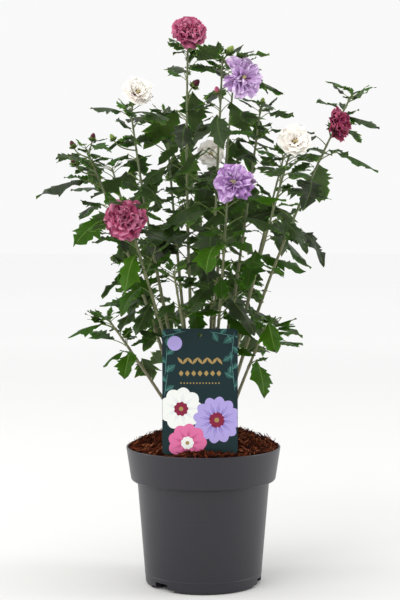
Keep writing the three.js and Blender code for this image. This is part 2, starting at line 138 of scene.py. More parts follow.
def meshOf(bm, name, angle=40):
    mesh = bpy.data.meshes.new(name)
    bm.to_mesh(mesh)
    bm.free()
    return smoothMesh(mesh, angle)


# A small shape that is copied many times: its points, quads, material of each face and map. A batch is a
# list of its copies, joined at the end
def masterOf(bm):
    bm.verts.index_update()
    layer = bm.loops.layers.uv.verify()
    master = {
        "points": np.array([v.co[:] for v in bm.verts]),
        "faces": np.array([[v.index for v in f.verts] for f in bm.faces]),
        "slots": np.array([f.material_index for f in bm.faces]),
        "map": np.array([loop[layer].uv[:] for f in bm.faces for loop in f.loops]),
    }
    bm.free()
    return master


def addCopy(batch, master, points, slots):
    faces = master["faces"]
    batch.append((points, faces, np.broadcast_to(slots, len(faces)), master["map"]))


def joined(batch, name, angle):
    points, faces, slots, maps = zip(*batch)
    starts = np.cumsum([0] + [len(part) for part in points])
    faces = np.concatenate([part + start for part, start in zip(faces, starts)])
    mesh = bpy.data.meshes.new(name)
    mesh.from_pydata(np.concatenate(points) * mm, [], faces)
    mesh.polygons.foreach_set("material_index", np.concatenate(slots).astype(np.int32))
    mesh.uv_layers.new(name="leafMap").data.foreach_set("uv", np.concatenate(maps).ravel())
    return smoothMesh(mesh, angle)


def roundEdges(bm, edges, size, segments):
    bmesh.ops.bevel(bm, geom=edges, offset=size * mm, segments=segments, profile=0.5, affect="EDGES",
                    material=-1)


def addBox(bm, size, place):
    verts = bmesh.ops.create_cube(bm, size=mm)["verts"]
    bmesh.ops.scale(bm, verts=verts, vec=size)
    bmesh.ops.translate(bm, verts=verts, vec=Vector(place) * mm)
    return verts


# Many round stems as one curve, each a list of points and radii in millimetres, made a mesh
def stemsMesh(name, stems, roundness):
    curve = bpy.data.curves.new(name, "CURVE")
    curve.dimensions = "3D"
    curve.bevel_depth = mm
    curve.bevel_resolution = roundness
    curve.use_fill_caps = True
    for points, radii in stems:
        spline = curve.splines.new("POLY")
        spline.points.add(len(points) - 1)
        rows = np.concatenate([np.array(points) * mm, np.ones((len(points), 1))], axis=1)
        spline.points.foreach_set("co", rows.ravel())
        spline.points.foreach_set("radius", np.array(radii, float))
    holder = bpy.data.objects.new(name, curve)
    mesh = bpy.data.meshes.new_from_object(holder)
    bpy.data.objects.remove(holder)
    mesh.name = name
    mesh.materials.clear()
    return smoothMesh(mesh, 50)


# A profile of (radius, height) turned about Z, with its sharp rings rounded afterwards
def turned(outline, steps, rounds):
    bm = bmesh.new()
    verts = [bm.verts.new((radius * mm, 0, height * mm)) for radius, height in outline]
    edges = [bm.edges.new(pair) for pair in zip(verts, verts[1:])]
    bmesh.ops.spin(bm, geom=verts + edges, cent=(0, 0, 0), axis=(0, 0, 1),
                   angle=2 * pi, steps=steps, use_merge=True)
    bmesh.ops.remove_doubles(bm, verts=bm.verts, dist=1e-6)
    bmesh.ops.recalc_face_normals(bm, faces=bm.faces)
    for radius, height, size in rounds:
        ring = [e for e in bm.edges if all(
            abs(v.co.z - height * mm) < 1e-6 and abs(v.co.xy.length - radius * mm) < 1e-5 for v in e.verts)]
        roundEdges(bm, ring, size, 4)
    return bm


# A mesh as one modifier leaves it
def modified(mesh, name, angle, kind, settings):
    holder = placeObject(name, mesh)
    modifier = holder.modifiers.new(name, kind)
    for key, value in settings.items():
        setattr(modifier, key, value)
    depsgraph = bpy.context.evaluated_depsgraph_get()
    result = bpy.data.meshes.new_from_object(holder.evaluated_get(depsgraph))
    bpy.data.objects.remove(holder)
    result.name = name
    return smoothMesh(result, angle)


def carved(mesh, cutter, name):
    tool = placeObject("tool", cutter)
    settings = {"object": tool, "operation": "DIFFERENCE", "solver": "EXACT"}
    result = modified(mesh, name, 40, "BOOLEAN", settings)
    bpy.data.objects.remove(tool)
    return result


# Injection-moulded anthracite polypropylene: an even satin skin that shows soft broad lights, a fine
# moulded grain, and faint level scuffs from handling
def mouldedPolypropylene():
    material, addNode = newMaterial("mouldedPolypropylene")
    place = addNode("ShaderNodeTexCoord", {}, "Object")
    # moulded grain is 0.4 mm, drawn at 2 mm so that it shows; scuffs are some 70 mm long and 4 mm high
    grain = addNode("ShaderNodeTexNoise", {"Scale": per(2), "Detail": 2.0, "Vector": place})
    level = addNode("ShaderNodeMapping", {"Scale": (14.0, 14.0, 260.0), "Vector": place})
    scuffs = addNode("ShaderNodeTexNoise", {"Scale": 1.0, "Detail": 4.0, "Vector": level})
    wear = addNode("ShaderNodeValToRGB",
                   {"stops": [(0.62, grey(0.0)), (0.9, grey(1.0))], "Fac": scuffs})
    tint = addNode("ShaderNodeMix",
                   {"data_type": "RGBA", 0: wear, 6: shade("#1f1d25"), 7: shade("#2a2830")}, 2)
    gloss = addNode("ShaderNodeMapRange", {"To Min": 0.38, "To Max": 0.52, "Value": wear})
    bump = addNode("ShaderNodeBump", {"Strength": 0.12, "Distance": 0.2 * mm, "Height": grain})
    return finished(material, {"Base Color": tint, "Roughness": gloss, "IOR": 1.49,
                               "Specular IOR Level": 0.5, "Normal": bump})


# Shredded bark, damp: matt fibres, each chip one brown with darker grain along it
def shreddedBark(name, code, dark):
    material, addNode = newMaterial(name)
    place = addNode("ShaderNodeTexCoord", {}, "Object")
    # grain is 0.3 mm wide, drawn at 1.25 mm so that it shows
    grain = addNode("ShaderNodeTexNoise",
                    {"Scale": per(1.25), "Detail": 4.0, "Roughness": 0.7, "Vector": place})
    tint = addNode("ShaderNodeValToRGB",
                   {"stops": [(0.34, shade(dark)), (0.66, shade(code))], "Fac": grain})
    bump = addNode("ShaderNodeBump", {"Strength": 0.5, "Distance": 0.4 * mm, "Height": grain})
    return finished(material, {
        "Base Color": tint, "Roughness": 0.9, "Specular IOR Level": 0.06, "Normal": bump})


# Ink on a laminated card: flat colour under a thin clear film that catches the light
def laminatedPrint(name, code):
    material, addNode = newMaterial(name)
    place = addNode("ShaderNodeTexCoord", {}, "Object")
    # the film's waves are some 20 mm long
    waves = addNode("ShaderNodeTexNoise", {"Scale": per(20), "Detail": 1.0, "Vector": place})
    bump = addNode("ShaderNodeBump", {"Strength": 0.08, "Distance": 0.6 * mm, "Height": waves})
    return finished(material, {
        "Base Color": shade(code), "Roughness": 0.5, "Specular IOR Level": 0.15, "Coat Weight": 0.05,
        "Coat Roughness": 0.25, "Normal": bump})


# Thin bark of a young cane: matt, with long grain and small raised lenticels
def youngBark(name, code, dark):
    material, addNode = newMaterial(name)
    place = addNode("ShaderNodeTexCoord", {}, "Object")
    # grain runs up the cane: 1 mm across and 12.5 mm long; lenticels are some 4 mm apart
    along = addNode("ShaderNodeMapping", {"Scale": (per(1), per(1), per(12.5)), "Vector": place})
    grain = addNode("ShaderNodeTexNoise", {"Scale": 1.0, "Detail": 3.0, "Vector": along})
    dots = addNode("ShaderNodeTexVoronoi", {"Scale": 260.0, "Vector": place})
    lenticels = addNode("ShaderNodeValToRGB",
                        {"stops": [(0.16, grey(1.0)), (0.24, grey(0.0))], "Fac": dots})
    tint = addNode("ShaderNodeValToRGB",
                   {"stops": [(0.3, shade(dark)), (0.7, shade(code))], "Fac": grain})
    height = addNode("ShaderNodeMath", {"operation": "ADD", 0: grain, 1: lenticels})
    bump = addNode("ShaderNodeBump", {"Strength": 0.4, "Distance": 0.3 * mm, "Height": height})
    return finished(material, {
        "Base Color": tint, "Roughness": 0.62, "Specular IOR Level": 0.35, "Normal": bump})


# Skin of a leaf: a soft waxy gloss over green, some light let through, and veins pressed in
def leafSkin(name, code, gloss, shine, through):
    material, addNode = newMaterial(name)
    place = addNode("ShaderNodeUVMap", {"uv_map": "leafMap"})
    # the map runs 0 to 1 across and along the blade: the midrib is at 0.5, with nine pairs of side veins
    across = addNode("ShaderNodeSeparateXYZ", {0: place}, "X")
    along = across.node.outputs["Y"]
    side = addNode("ShaderNodeMath", {"operation": "SUBTRACT", 0: across, 1: 0.5})
    away = addNode("ShaderNodeMath", {"operation": "ABSOLUTE", 0: side})
    rib = addNode("ShaderNodeMapRange", {"From Max": 0.05, "To Min": 1.0, "To Max": 0.0, "Value": away})
    slant = addNode("ShaderNodeMath", {"operation": "MULTIPLY_ADD", 0: away, 1: -0.75, 2: along})
    steps = addNode("ShaderNodeMath", {"operation": "MULTIPLY", 0: slant, 1: 56.5})
    veins = addNode("ShaderNodeMath", {"operation": "SINE", 0: steps})
    sharp = addNode("ShaderNodeMapRange", {"From Min": 0.55, "To Max": 0.6, "Value": veins})
    height = addNode("ShaderNodeMath", {"operation": "ADD", 0: rib, 1: sharp})
    bump = addNode("ShaderNodeBump",
                   {"Strength": 0.5, "Distance": 0.4 * mm, "invert": True, "Height": height})
    return finished(material, {
        "Base Color": shade(code), "Roughness": gloss, "Specular IOR Level": shine, "Normal": bump,
        "Subsurface Weight": through, "Subsurface Radius": (0.4, 1.0, 0.15), "Subsurface Scale": 1.2 * mm})


# Skin of a petal: thin and matt with a velvet bloom at its edges, fine veins along it
def petalSkin(name, code, through, depth=4):
    material, addNode = newMaterial(name)
    place = addNode("ShaderNodeUVMap", {"uv_map": "leafMap"})
    # veins 1.5 mm apart on a petal some 30 mm wide
    fine = addNode("ShaderNodeMapping", {"Scale": (20.0, 2.0, 1.0), "Vector": place})
    veins = addNode("ShaderNodeTexNoise", {"Scale": 1.0, "Detail": 2.0, "Vector": fine})
    bump = addNode("ShaderNodeBump", {"Strength": 0.35, "Distance": 0.5 * mm, "Height": veins})
    return finished(material, {
        "Base Color": shade(code), "Roughness": 0.6, "Specular IOR Level": 0.2, "Sheen Weight": 0.1,
        "Sheen Roughness": 0.4, "Subsurface Weight": through, "Subsurface Radius": (1.0, 0.8, 0.9),
        "Subsurface Scale": depth * mm, "Normal": bump})


# Pot: a thin moulded container, its collar stepped out below the rim, a fine bead above the foot
pot = {
    "outline": [
        (0, 0), (56, 0), (60, 4), (77, 4), (79, 0), (80.5, 0), (86, 0), (86.5, 6), (87.15, 15.2),
        (87.25, 16), (87.6, 16.5), (87.65, 17.1), (87.4, 17.6), (87.5, 18.6), (98.3, 152.5), (98.5, 155),
        (100.5, 155), (103, 155), (107.5, 155), (108.3, 160.5), (114.7, 203), (115, 205), (112, 205),
        (111.7, 203), (105.5, 157), (96.5, 153), (84, 8), (60, 8), (56, 4), (0, 4)],
    "rounds": [(86, 0, 4.5), (98.5, 155, 1.2), (107.5, 155, 3.6), (115, 205, 1.2), (112, 205, 1.2)],
    "steps": 160,
    "cutTurns": (-135.7, -15.7, 104.3),
    # size and radius of the box that lifts the foot between its feet, and of the drain notch in it
    "cuts": [((21, 48, 8), 82.5), ((22, 25, 23), 78)],
}


def potCutter(size, radius):
    bm = bmesh.new()
    for turn in pot["cutTurns"]:
        bmesh.ops.rotate(bm, verts=addBox(bm, size, (radius, 0, 0)), cent=(0, 0, 0),
                         matrix=Matrix.Rotation(turn * degree, 3, "Z"))
    return meshOf(bm, "cutter")


potMesh = meshOf(turned(pot["outline"], pot["steps"], pot["rounds"]), "pot_shell")
for size, radius in pot["cuts"]:
    potMesh = carved(potMesh, potCutter(size, radius), "pot_shell")
addPiece("pot_shell", potMesh, [mouldedPolypropylene()], ["pot"])


# Mulch: a mound of shredded bark from the rim up to the canes, with loose chips and fibres on it
mulch = {
    "radius": (0, 46, 77.05, 110.6), "height": (227, 227, 217.2, 199),
    "rings": (110.6, 106, 101, 96, 91, 86, 81, 76, 70, 64, 58, 52, 46, 38, 28, 16, 0), "steps": 96,
    "skirt": (104, 176), "lumpFrom": 190, "lumpReach": 109, "lump": 9, "roughness": 2.6,
    "reach": 109, "heap": (90, 108, 4.5), "wall": ((157, 205), (105.5, 112)), "wallGap": 0.4,
    "lift": (-0.6, 3.4), "tilt": (-22, 22), "roll": (-40, 40),
    "cardLift": (-2, 2.5), "cardTurn": (-0.15, 0.15),
    # count of the loose pieces, then their lengths, widths and thicknesses
    "chips": (2300, ((7, 24), (1.4, 4.6), (0.9, 2.3))),
    "fibres": (1900, ((12, 34), (0.6, 1.2), (0.4, 0.8))),
    "tones": [("#3d180b", "#120603"), ("#5c2712", "#1e0b05"), ("#763b23", "#30150b"),
              ("#1d0c08", "#090403"), ("#945b3d", "#4a2416")],
    "toneShares": [0.3, 0.58, 0.78, 0.9],
}
cardPlace = {"x": -5, "y": -90, "clear": 62}


def mulchHeight(radius):
    return float(np.interp(radius, mulch["radius"], mulch["height"]))


def mulchMound():
    outline = [(0, mulch["skirt"][1]), mulch["skirt"]] + [(r, mulchHeight(r)) for r in mulch["rings"]]
    bm = turned(outline, mulch["steps"], [])
    for v in bm.verts:
        if v.co.z > mulch["lumpFrom"] * mm and v.co.xy.length < mulch["lumpReach"] * mm:
            v.co.z += noise.noise(v.co / (mulch["lump"] * mm)) * mulch["roughness"] * mm
    return meshOf(bm, "mulch_mound", 60)


# Splinter: a slim block that narrows to its ends and bends a little
def splinterMaster(bend, taper, seed):
    draw = drawsFrom(seed)
    bm = bmesh.new()
    bmesh.ops.create_cube(bm, size=1)
    long = [e for e in bm.edges if abs(e.verts[0].co.x - e.verts[1].co.x) > 0.5]
    bmesh.ops.subdivide_edges(bm, edges=long, cuts=2, use_grid_fill=True)
    for v in bm.verts:
        end = (2 * abs(v.co.x)) ** 2
        v.co.y *= 1 - taper * end * draw(0.6, 1)
        v.co.z *= 1 - 0.6 * taper * end
        v.co.z += bend * (v.co.x ** 2) + draw(-0.1, 0.1)
        v.co.y += 0.5 * bend * v.co.x ** 2
    bmesh.ops.recalc_face_normals(bm, faces=bm.faces)
    return masterOf(bm)


def scatterSplinters(batch, masters, count, sizes, seed):
    draw = drawsFrom(seed)
    for _ in range(count):
        master = masters[int(draw() * len(masters))]
        size = np.array([draw(*limits) for limits in sizes])
        radius, turn = mulch["reach"] * sqrt(draw()), draw(0, 2 * pi)
        heading = draw(0, 2 * pi)
        x, y = radius * cos(turn), radius * sin(turn)
        heap = np.interp(radius, mulch["heap"][:2], (0, mulch["heap"][2]))
        lift = draw(*mulch["lift"]) + float(heap)
        near = abs(y - cardPlace["y"])
        if near < 0.5 * size[0] + 2 and abs(x - cardPlace["x"]) < cardPlace["clear"]:
            heading = draw(*mulch["cardTurn"])  # it lies beside the card, and along it
            y = cardPlace["y"] + (1 if y > cardPlace["y"] else -1) * (2.2 + 0.4 * near)
            lift = draw(*mulch["cardLift"])
        tilt = Matrix.Rotation(draw(*mulch["tilt"]) * degree, 3, "Y")
        tilt = tilt @ Matrix.Rotation(draw(*mulch["roll"]) * degree, 3, "X")
        slope = atan2(mulchHeight(radius - 3) - mulchHeight(radius + 3), 6)
        lean = Matrix.Rotation(slope, 3, Vector((-sin(turn), cos(turn), 0)))
        matrix = np.array(lean @ Matrix.Rotation(heading, 3, "Z") @ tilt)
        points = (master["points"] * size) @ matrix.T
        points += (x, y, mulchHeight(hypot(x, y)) + lift)
        wall = np.interp(points[:, 2], *mulch["wall"]) - mulch["wallGap"]
        reach = np.hypot(points[:, 0], points[:, 1])
        points[:, :2] *= np.minimum(1, wall / reach)[:, None]
        addCopy(batch, master, points, int(np.searchsorted(mulch["toneShares"], draw())))


barkTones = [shreddedBark("shreddedBark" + str(i), *tone) for i, tone in enumerate(mulch["tones"])]
# the mound under the loose pieces takes the darkest bark tone, a real bark tone used here as painted shade
# in the gaps between them
addPiece("mulch_mound", mulchMound(), [barkTones[3]], ["mulch"])
splinters = []
chipMasters = [splinterMaster(0.5, 0.75, 11), splinterMaster(-0.8, 0.6, 12), splinterMaster(1.4, 0.85, 13)]
fibreMasters = [splinterMaster(6, 0.4, 21), splinterMaster(-7, 0.4, 22), splinterMaster(12, 0.5, 23)]
scatterSplinters(splinters, chipMasters, *mulch["chips"], 31)
scatterSplinters(splinters, fibreMasters, *mulch["fibres"], 32)
addPiece("mulch_splinters", joined(splinters, "mulch_splinters", 50), barkTones)


# Card: a laminated plate on its stake. Its print is a plain generic one: leaf sprays, round
# rosettes and ornaments, with a bare back
card = {
    "width": 108, "bottom": 206, "top": 387, "thickness": 1, "corner": 6,
    "hole": 3, "holeDrop": 9, "stake": 22, "stakeFoot": 150,
    "ink": 0.03, "layer": 0.04, "margin": 0.4,
    "print": [("cardNight", "#12282b"), ("sprayTeal", "#2b5550"), ("sprayMint", "#5b8f88"),
              ("printGold", "#9c8352"), ("printLilac", "#a497cf"), ("printViolet", "#6f60a8"),
              ("printPink", "#cf6a98"), ("printRose", "#a93a6e"), ("printCream", "#e0e2df"),
              ("printWine", "#7c1f3b"), ("printPearl", "#c9cfd2")],
    # foot, length and turn of each spray, with its leaves and their length
    "sprays": [(-50, 112, 44, 4, 4, 17), (-20, 178, 40, 256, 4, 17), (49, 178, 50, 186, 4, 17),
               (12, 177, 38, 100, 4, 15), (-51, 84, 34, 8, 3, 15), (50, 90, 46, -6, 4, 16)],
    # centre, radius and petals of each rosette, with its inks: petal, its streaks, heart
    "rosettes": [(-27, 66, 31, 9, "printCream", "printPearl", "printWine"),
                 (24, 50, 34, 12, "printLilac", "printViolet", "printWine"),
                 (-18, 17, 28, 9, "printPink", "printRose", "printCream")],
    # rows of ornaments: count, first place, step, height, size, lean, pinch and points
    "ornaments": [(9, -28, 7, 135, (4.2, 13), 38, 0.7, 20), (7, -27, 9, 117, (6.4, 8.5), 0, 0.85, 20),
                  (13, -27, 4.5, 103, (2.2, 2.2), 0, 0, 12)],
    "disc": ((-36, 160), (21, 21)),
}
inks = {name: i for i, (name, _) in enumerate(card["print"])}


def cardPlate():
    bm = bmesh.new()
    x, y, low = cardPlace["x"], cardPlace["y"], card["bottom"]
    addBox(bm, (card["width"], card["thickness"], card["top"] - low), (x, y, (low + card["top"]) / 2))
    corners = [e for e in bm.edges if abs(e.verts[0].co.y - e.verts[1].co.y) > 0.5 * mm]
    roundEdges(bm, corners, card["corner"], 6)
    foot = card["stakeFoot"]
    addBox(bm, (card["stake"], card["thickness"], low - foot), (x, y, (low + foot) / 2))
    bmesh.ops.recalc_face_normals(bm, faces=bm.faces)
    drill = bmesh.new()
    bmesh.ops.create_cone(drill, cap_ends=True, segments=28, radius1=card["hole"] * mm,
                          radius2=card["hole"] * mm, depth=6 * mm)
    bmesh.ops.rotate(drill, verts=drill.verts, cent=(0, 0, 0), matrix=Matrix.Rotation(90 * degree, 3, "X"))
    bmesh.ops.translate(drill, verts=drill.verts, vec=Vector((x, y, card["top"] - card["holeDrop"])) * mm)
    return carved(meshOf(bm, "plate"), meshOf(drill, "drill"), "card_plate")


# A flat oval or petal on the card's face: its foot from the card's middle bottom, its width and
# length, its turn from upright, and how many ink layers lie under it
def printShape(bm, foot, size, turn, ink, layer, pinch=0.0, seat=1.0, points=20):
    verts = bmesh.ops.create_circle(bm, cap_ends=True, segments=points, radius=1)["verts"]
    front = cardPlace["y"] - card["thickness"] / 2 - card["ink"] - layer * card["layer"]
    for v in verts:
        x, z = v.co.x, v.co.y
        x *= size[0] / 2 * (1 - pinch * abs(z) ** 1.5)
        z = (z + seat) * size[1] / 2
        dx = x * cos(turn * degree) + z * sin(turn * degree)
        dz = z * cos(turn * degree) - x * sin(turn * degree)
        v.co = Vector((cardPlace["x"] + foot[0] + dx, front, card["bottom"] + foot[1] + dz)) * mm
    for face in verts[0].link_faces:
        face.material_index = inks[ink]


def printSpray(bm, x, z, length, turn, leaves, leafSize):
    reach = (sin(turn * degree) * length, cos(turn * degree) * length)
    printShape(bm, (x, z), (0.7, length), turn, "sprayMint", 0, points=8)
    for i in range(leaves):
        share = (i + 0.6) / (leaves - 0.4)
        foot = (x + reach[0] * share, z + reach[1] * share)
        side = 0 if i == leaves - 1 else 52 * (-1) ** i
        size = leafSize * (1.1 - 0.3 * share)
        printShape(bm, foot, (size * 0.56, size), turn + side, "sprayTeal", 1 + 0.3 * (i % 3), pinch=0.75)
        printShape(bm, foot, (0.8, size * 0.86), turn + side, "sprayMint", 2, points=8)


def printRosette(bm, x, z, radius, petals, petal, streak, heart, layer):
    for i in range(petals):
        turn = i * 360 / petals + 8
        wide = radius * 7.4 / petals
        printShape(bm, (x, z), (wide, radius), turn, petal, layer + 0.3 * (i % 3), pinch=0.1)
        for lean, reach in ((-7, 0.6), (0, 0.78), (7, 0.6)):
            printShape(bm, (x, z), (0.9, radius * reach), turn + lean, streak, layer + 1, points=8)
    for i in range(petals):
        printShape(bm, (x, z), (radius * 2.6 / petals, radius * 0.34), i * 360 / petals + 8, heart,
                   layer + 2 + 0.3 * (i % 3), pinch=0.3)
    printShape(bm, (x, z), (radius * 0.2, radius * 0.2), 0, "printGold", layer + 3, seat=0)


def cardPrint():
    bm = bmesh.new()
    for spray in card["sprays"]:
        printSpray(bm, *spray)
    for count, first, step, height, size, lean, pinch, points in card["ornaments"]:
        for i in range(count):
            printShape(bm, (first + step * i, height), size, -lean * (-1) ** i, "printGold", 3,
                       pinch=pinch, seat=0, points=points)
    printShape(bm, *card["disc"], 0, "printLilac", 3, seat=0, points=32)
    for number, rosette in enumerate(card["rosettes"]):
        printRosette(bm, *rosette, 4 + 4 * number)
    edge = card["width"] / 2 - card["margin"]
    sides = [((cardPlace["x"] - edge, 0, 0), (-1, 0, 0)), ((cardPlace["x"] + edge, 0, 0), (1, 0, 0)),
             ((0, 0, card["bottom"] + card["margin"]), (0, 0, -1)),
             ((0, 0, card["top"] - card["margin"]), (0, 0, 1))]
    for place, way in sides:
        everything = bm.verts[:] + bm.edges[:] + bm.faces[:]
        bmesh.ops.bisect_plane(bm, geom=everything, plane_co=Vector(place) * mm,
                               plane_no=way, clear_outer=True)
    for face in bm.faces:
        if face.normal.y > 0:
            face.normal_flip()
    bmesh.ops.solidify(bm, geom=bm.faces[:], thickness=card["ink"] * mm)
    return meshOf(bm, "card_print", 30)


cardInks = [laminatedPrint(name, code) for name, code in card["print"]]
addPiece("card_plate", cardPlate(), [cardInks[0]], ["card"])
addPiece("card_print", cardPrint(), cardInks)


# The growth rule of the part's source, in its own figures: millimetres and degrees
soilTop, caneGap = 227, 0.3
canes = [
    ("left", (-24, -6), (-170, -34, 644), (14, 0), 110, 832, 72),
    ("right", (27, -3), (216, -14, 722), (-32, 0), 300, 837, 64),
    ("white_left", (-17, 5), (-108, 14, 706), (-14, 6), 180, 125, 76),
    ("white_right", (20, -13), (124, -52, 636), (-8, 0), 250, 391, 76),
    ("top", (-8, 0), (-23, 4, 790), (-14, 8), 160, 652, 84),
    ("lilac_top", (6, -9), (28, -24, 780), (-2, -6), 160, 631, 76),
    ("mid_right", (17, 6), (85, 26, 706), (2, 0), 170, 777, 76),
    ("back_top", (8, 10), (48, 78, 770), (-8, 4), 170, 87, 84),
    ("front_left", (-12, -17), (-108, -126, 560), (-4, 4), 170, 702, 64),
    ("front", (8, -22), (34, -128, 590), (4, 8), 100, 571, 80),
    ("back_left_top", (-12, 14), (-58, 96, 704), (-4, 0), 160, 26, 80),
    ("back_left", (-24, 14), (-142, 122, 620), (6, -4), 220, 428, 72),
    ("back_right", (24, 16), (126, 128, 640), (-6, -4), 130, 183, 80),
    ("back", (0, 26), (-4, 184, 600), (0, -12), 140, 67, 88),
    ("low_left", (-28, -16), (-138, -52, 398), (4, 0), 110, 419, 68),
    ("low_right", (30, -18), (104, -84, 424), (-4, 4), 90, 142, 68),
    ("low_front", (-4, -30), (-42, -118, 470), (0, 12), 80, 50, 76),
    ("low_back", (12, 30), (52, 128, 450), (0, -8), 110, 162, 80),
    ("low_back_left", (-18, 28), (-84, 98, 440), (0, -8), 110, 565, 68),
]
caneNames = [row[0] for row in canes]
blooms = [  # cane, centre, diameter, turn and rise of its face, kind
    ("top", (-21, -8, 817), 54, 275, 30, "rose"),
    ("front_left", (-109, -136, 544), 62, 268, 12, "rose"),
    ("right", (194, -36, 678), 50, 318, 8, "wine"),
    ("lilac_top", (58, -46, 746), 60, 300, 5, "loose"),
    ("front", (41, -152, 594), 60, 262, 15, "lilac"),
    ("white_left", (-96, -22, 727), 48, 290, 26, "white"),
    ("white_right", (131, -66, 654), 50, 272, 20, "white"),
    ("back_top", (12, 60, 640), 44, 270, 10, "white"),
]
buds = [  # cane, centre, diameter, turn and rise, colour of its tip
    ("left", (-186, -48, 626), 17, 225, 60, "budWine"),
    ("left", (-190, -30, 650), 12, 170, 65, "budWine"),
    ("left", (-160, -42, 660), 12, 330, 75, "budWine"),
    ("white_left", (-134, 4, 662), 11, 190, 60, "budGreen"),
    ("lilac_top", (20, -34, 728), 12, 240, 60, "budPink"),
    ("lilac_top", (38, -30, 786), 15, 330, 50, "budGreen"),
    ("top", (-12, -4, 740), 16, 320, 40, "budWine"),
    ("mid_right", (88, 24, 716), 11, 20, 80, "budGreen"),
]
rule = {
    "footRadius": 3.2, "tipRadius": 1.4, "leafTurn": 137.5, "turnSpread": 46, "rollSpread": 50,
    "firstNode": 5, "spacing": (12, 27, 130), "spacingDraw": (0.85, 1.15),
    "young": (0.58, 1, 50), "sizeDraw": (0.84, 1.16), "pitch": (16, -24, 140), "pitchSpread": 40,
    "axilPitch": 12, "axilChance": 0.7, "axilRise": 6, "axilSwing": (42, 72), "axilSize": (0.5, 0.7),
    "outwardPull": 0.22, "stalkShare": 0.34, "stalkLeast": 3, "stalkLean": (0.55, 0.85),
    "swings": (0, 26, -26, 52, -52, 80, -80), "lowestLeaf": 245,
    "gaps": {"other": 10, "same": 5.5, "node": 4.5, "ownStem": 3.5, "otherStem": 5},
    "cardHalfWidth": 60, "cardFront": -190, "cardBack": -80, "cardTop": 396,
    "claimStep": 6, "bladeWidth": 0.66, "bladeArch": 0.17, "calyxDrop": 0.62, "flowerReach": 0.4,
    "flowerPoints": 26, "budPoints": 8, "flowerRadius": 3, "goldenTurn": 2.39996,
}
bladeSamples = [
    (0, 0.12), (0, 0.38), (0, 0.64), (0, 0.9), (-0.22, 0.26), (0.22, 0.26), (-0.44, 0.42), (0.44, 0.42),
    (-0.22, 0.5), (0.22, 0.5), (-0.16, 0.74), (0.16, 0.74), (0, 1)]
upward = np.array([0.0, 0.0, 1.0])


def unit(vector):
    return vector / np.linalg.norm(vector)


def facing(turn, rise):
    level = cos(rise * degree)
    return np.array([cos(turn * degree) * level, sin(turn * degree) * level, sin(rise * degree)])


def curveOf(cane):
    foot = np.array([*cane[1], soilTop + caneGap], float)
    tip = np.array(cane[2], float)
    return foot, (foot + tip) / 2 + np.array([*cane[3], 0.0]), tip


def curvePoint(curve, share):
    back = 1 - share
    return back * back * curve[0] + 2 * back * share * curve[1] + share * share * curve[2]


def curveAlong(curve, share):
    return unit((curve[1] - curve[0]) * (1 - share) + (curve[2] - curve[1]) * share)


def curveLength(curve):
    spots = np.array([curvePoint(curve, i / 200) for i in range(201)])
    return float(np.linalg.norm(np.diff(spots, axis=0), axis=1).sum())


def caneRadius(share):
    return mix(rule["footRadius"], rule["tipRadius"], share)


# Space that is taken: a row for each point, with its cane, its place in the order and its radius
taken = {"rows": np.zeros((90000, 6)), "count": 0, "search": 12}


def claim(spots, cane, order, radius):
    start, end = taken["count"], taken["count"] + len(spots)
    taken["rows"][start:end, :3] = spots
    taken["rows"][start:end, 3:] = cane, order, radius
    taken["count"] = end


def isFree(spots, cane, order, onStem, gaps):
    spots = np.asarray(spots)
    nearCard = (spots[:, 2] < rule["cardTop"]) & (abs(spots[:, 0]) < rule["cardHalfWidth"])
    nearCard &= (spots[:, 1] < rule["cardBack"]) & (spots[:, 1] > rule["cardFront"])
    if spots[:, 2].min() < rule["lowestLeaf"] or nearCard.any():
        return False
    rows = taken["rows"][:taken["count"]]
    low, high = spots.min(0) - taken["search"], spots.max(0) + taken["search"]
    rows = rows[((rows[:, :3] > low) & (rows[:, :3] < high)).all(1)]
    own, sameNode, radius = rows[:, 3] == cane, rows[:, 4] == order, rows[:, 5]
    reach = np.where(own, np.where(sameNode, gaps["node"], gaps["same"]), gaps["other"])
    reach = np.where(radius > 0, radius + np.where(own, gaps["ownStem"], gaps["otherStem"]), reach)
    if onStem:
        reach = np.where(own & (sameNode | (radius > 0)), 0, reach)
    return not (((spots[:, None] - rows[:, :3]) ** 2).sum(2) < reach ** 2).any()


def leafAt(root, along, turn, pitch, roll, length):
    rise = unit(along * rule["stalkLean"][0] + facing(turn, 0) * rule["stalkLean"][1])
    base = root + rise * (rule["stalkShare"] * length + rule["stalkLeast"])
    axis = facing(turn, pitch)
    side = unit(np.cross(axis, upward))
    top = np.cross(side, axis)
    c, s = cos(roll * degree), sin(roll * degree)
    return {"root": root, "base": base, "axis": axis, "side": side * c - top * s,
            "top": top * c + side * s, "length": length, "rise": rise}


def pointsOn(leaf, samples):
    across, share = np.array(samples).T
    drop = rule["bladeArch"] * (share ** 2 + across ** 2)
    local = np.outer(across * rule["bladeWidth"], leaf["side"]) + np.outer(share, leaf["axis"])
    return leaf["base"] + (local - np.outer(drop, leaf["top"])) * leaf["length"]


def tryLeaf(leaf, cane, order, gaps, samples):
    blade = pointsOn(leaf, samples)
    stalk = np.array([leaf["root"] + (leaf["base"] - leaf["root"]) * 0.6, leaf["base"]])
    if not isFree(blade, cane, order, False, gaps) or not isFree(stalk, cane, order, True, gaps):
        return False
    claim(np.concatenate([blade, stalk]), cane, order, 0)
    return True


# The first of the headings at which a leaf has room
def sprout(kept, foot, along, headings, pitch, roll, length, cane, order, gaps, samples):
    for heading in headings:
        leaf = leafAt(foot, along, heading, pitch, roll, length)
        if tryLeaf(leaf, cane, order, gaps, samples):
            kept.append(leaf)
            return


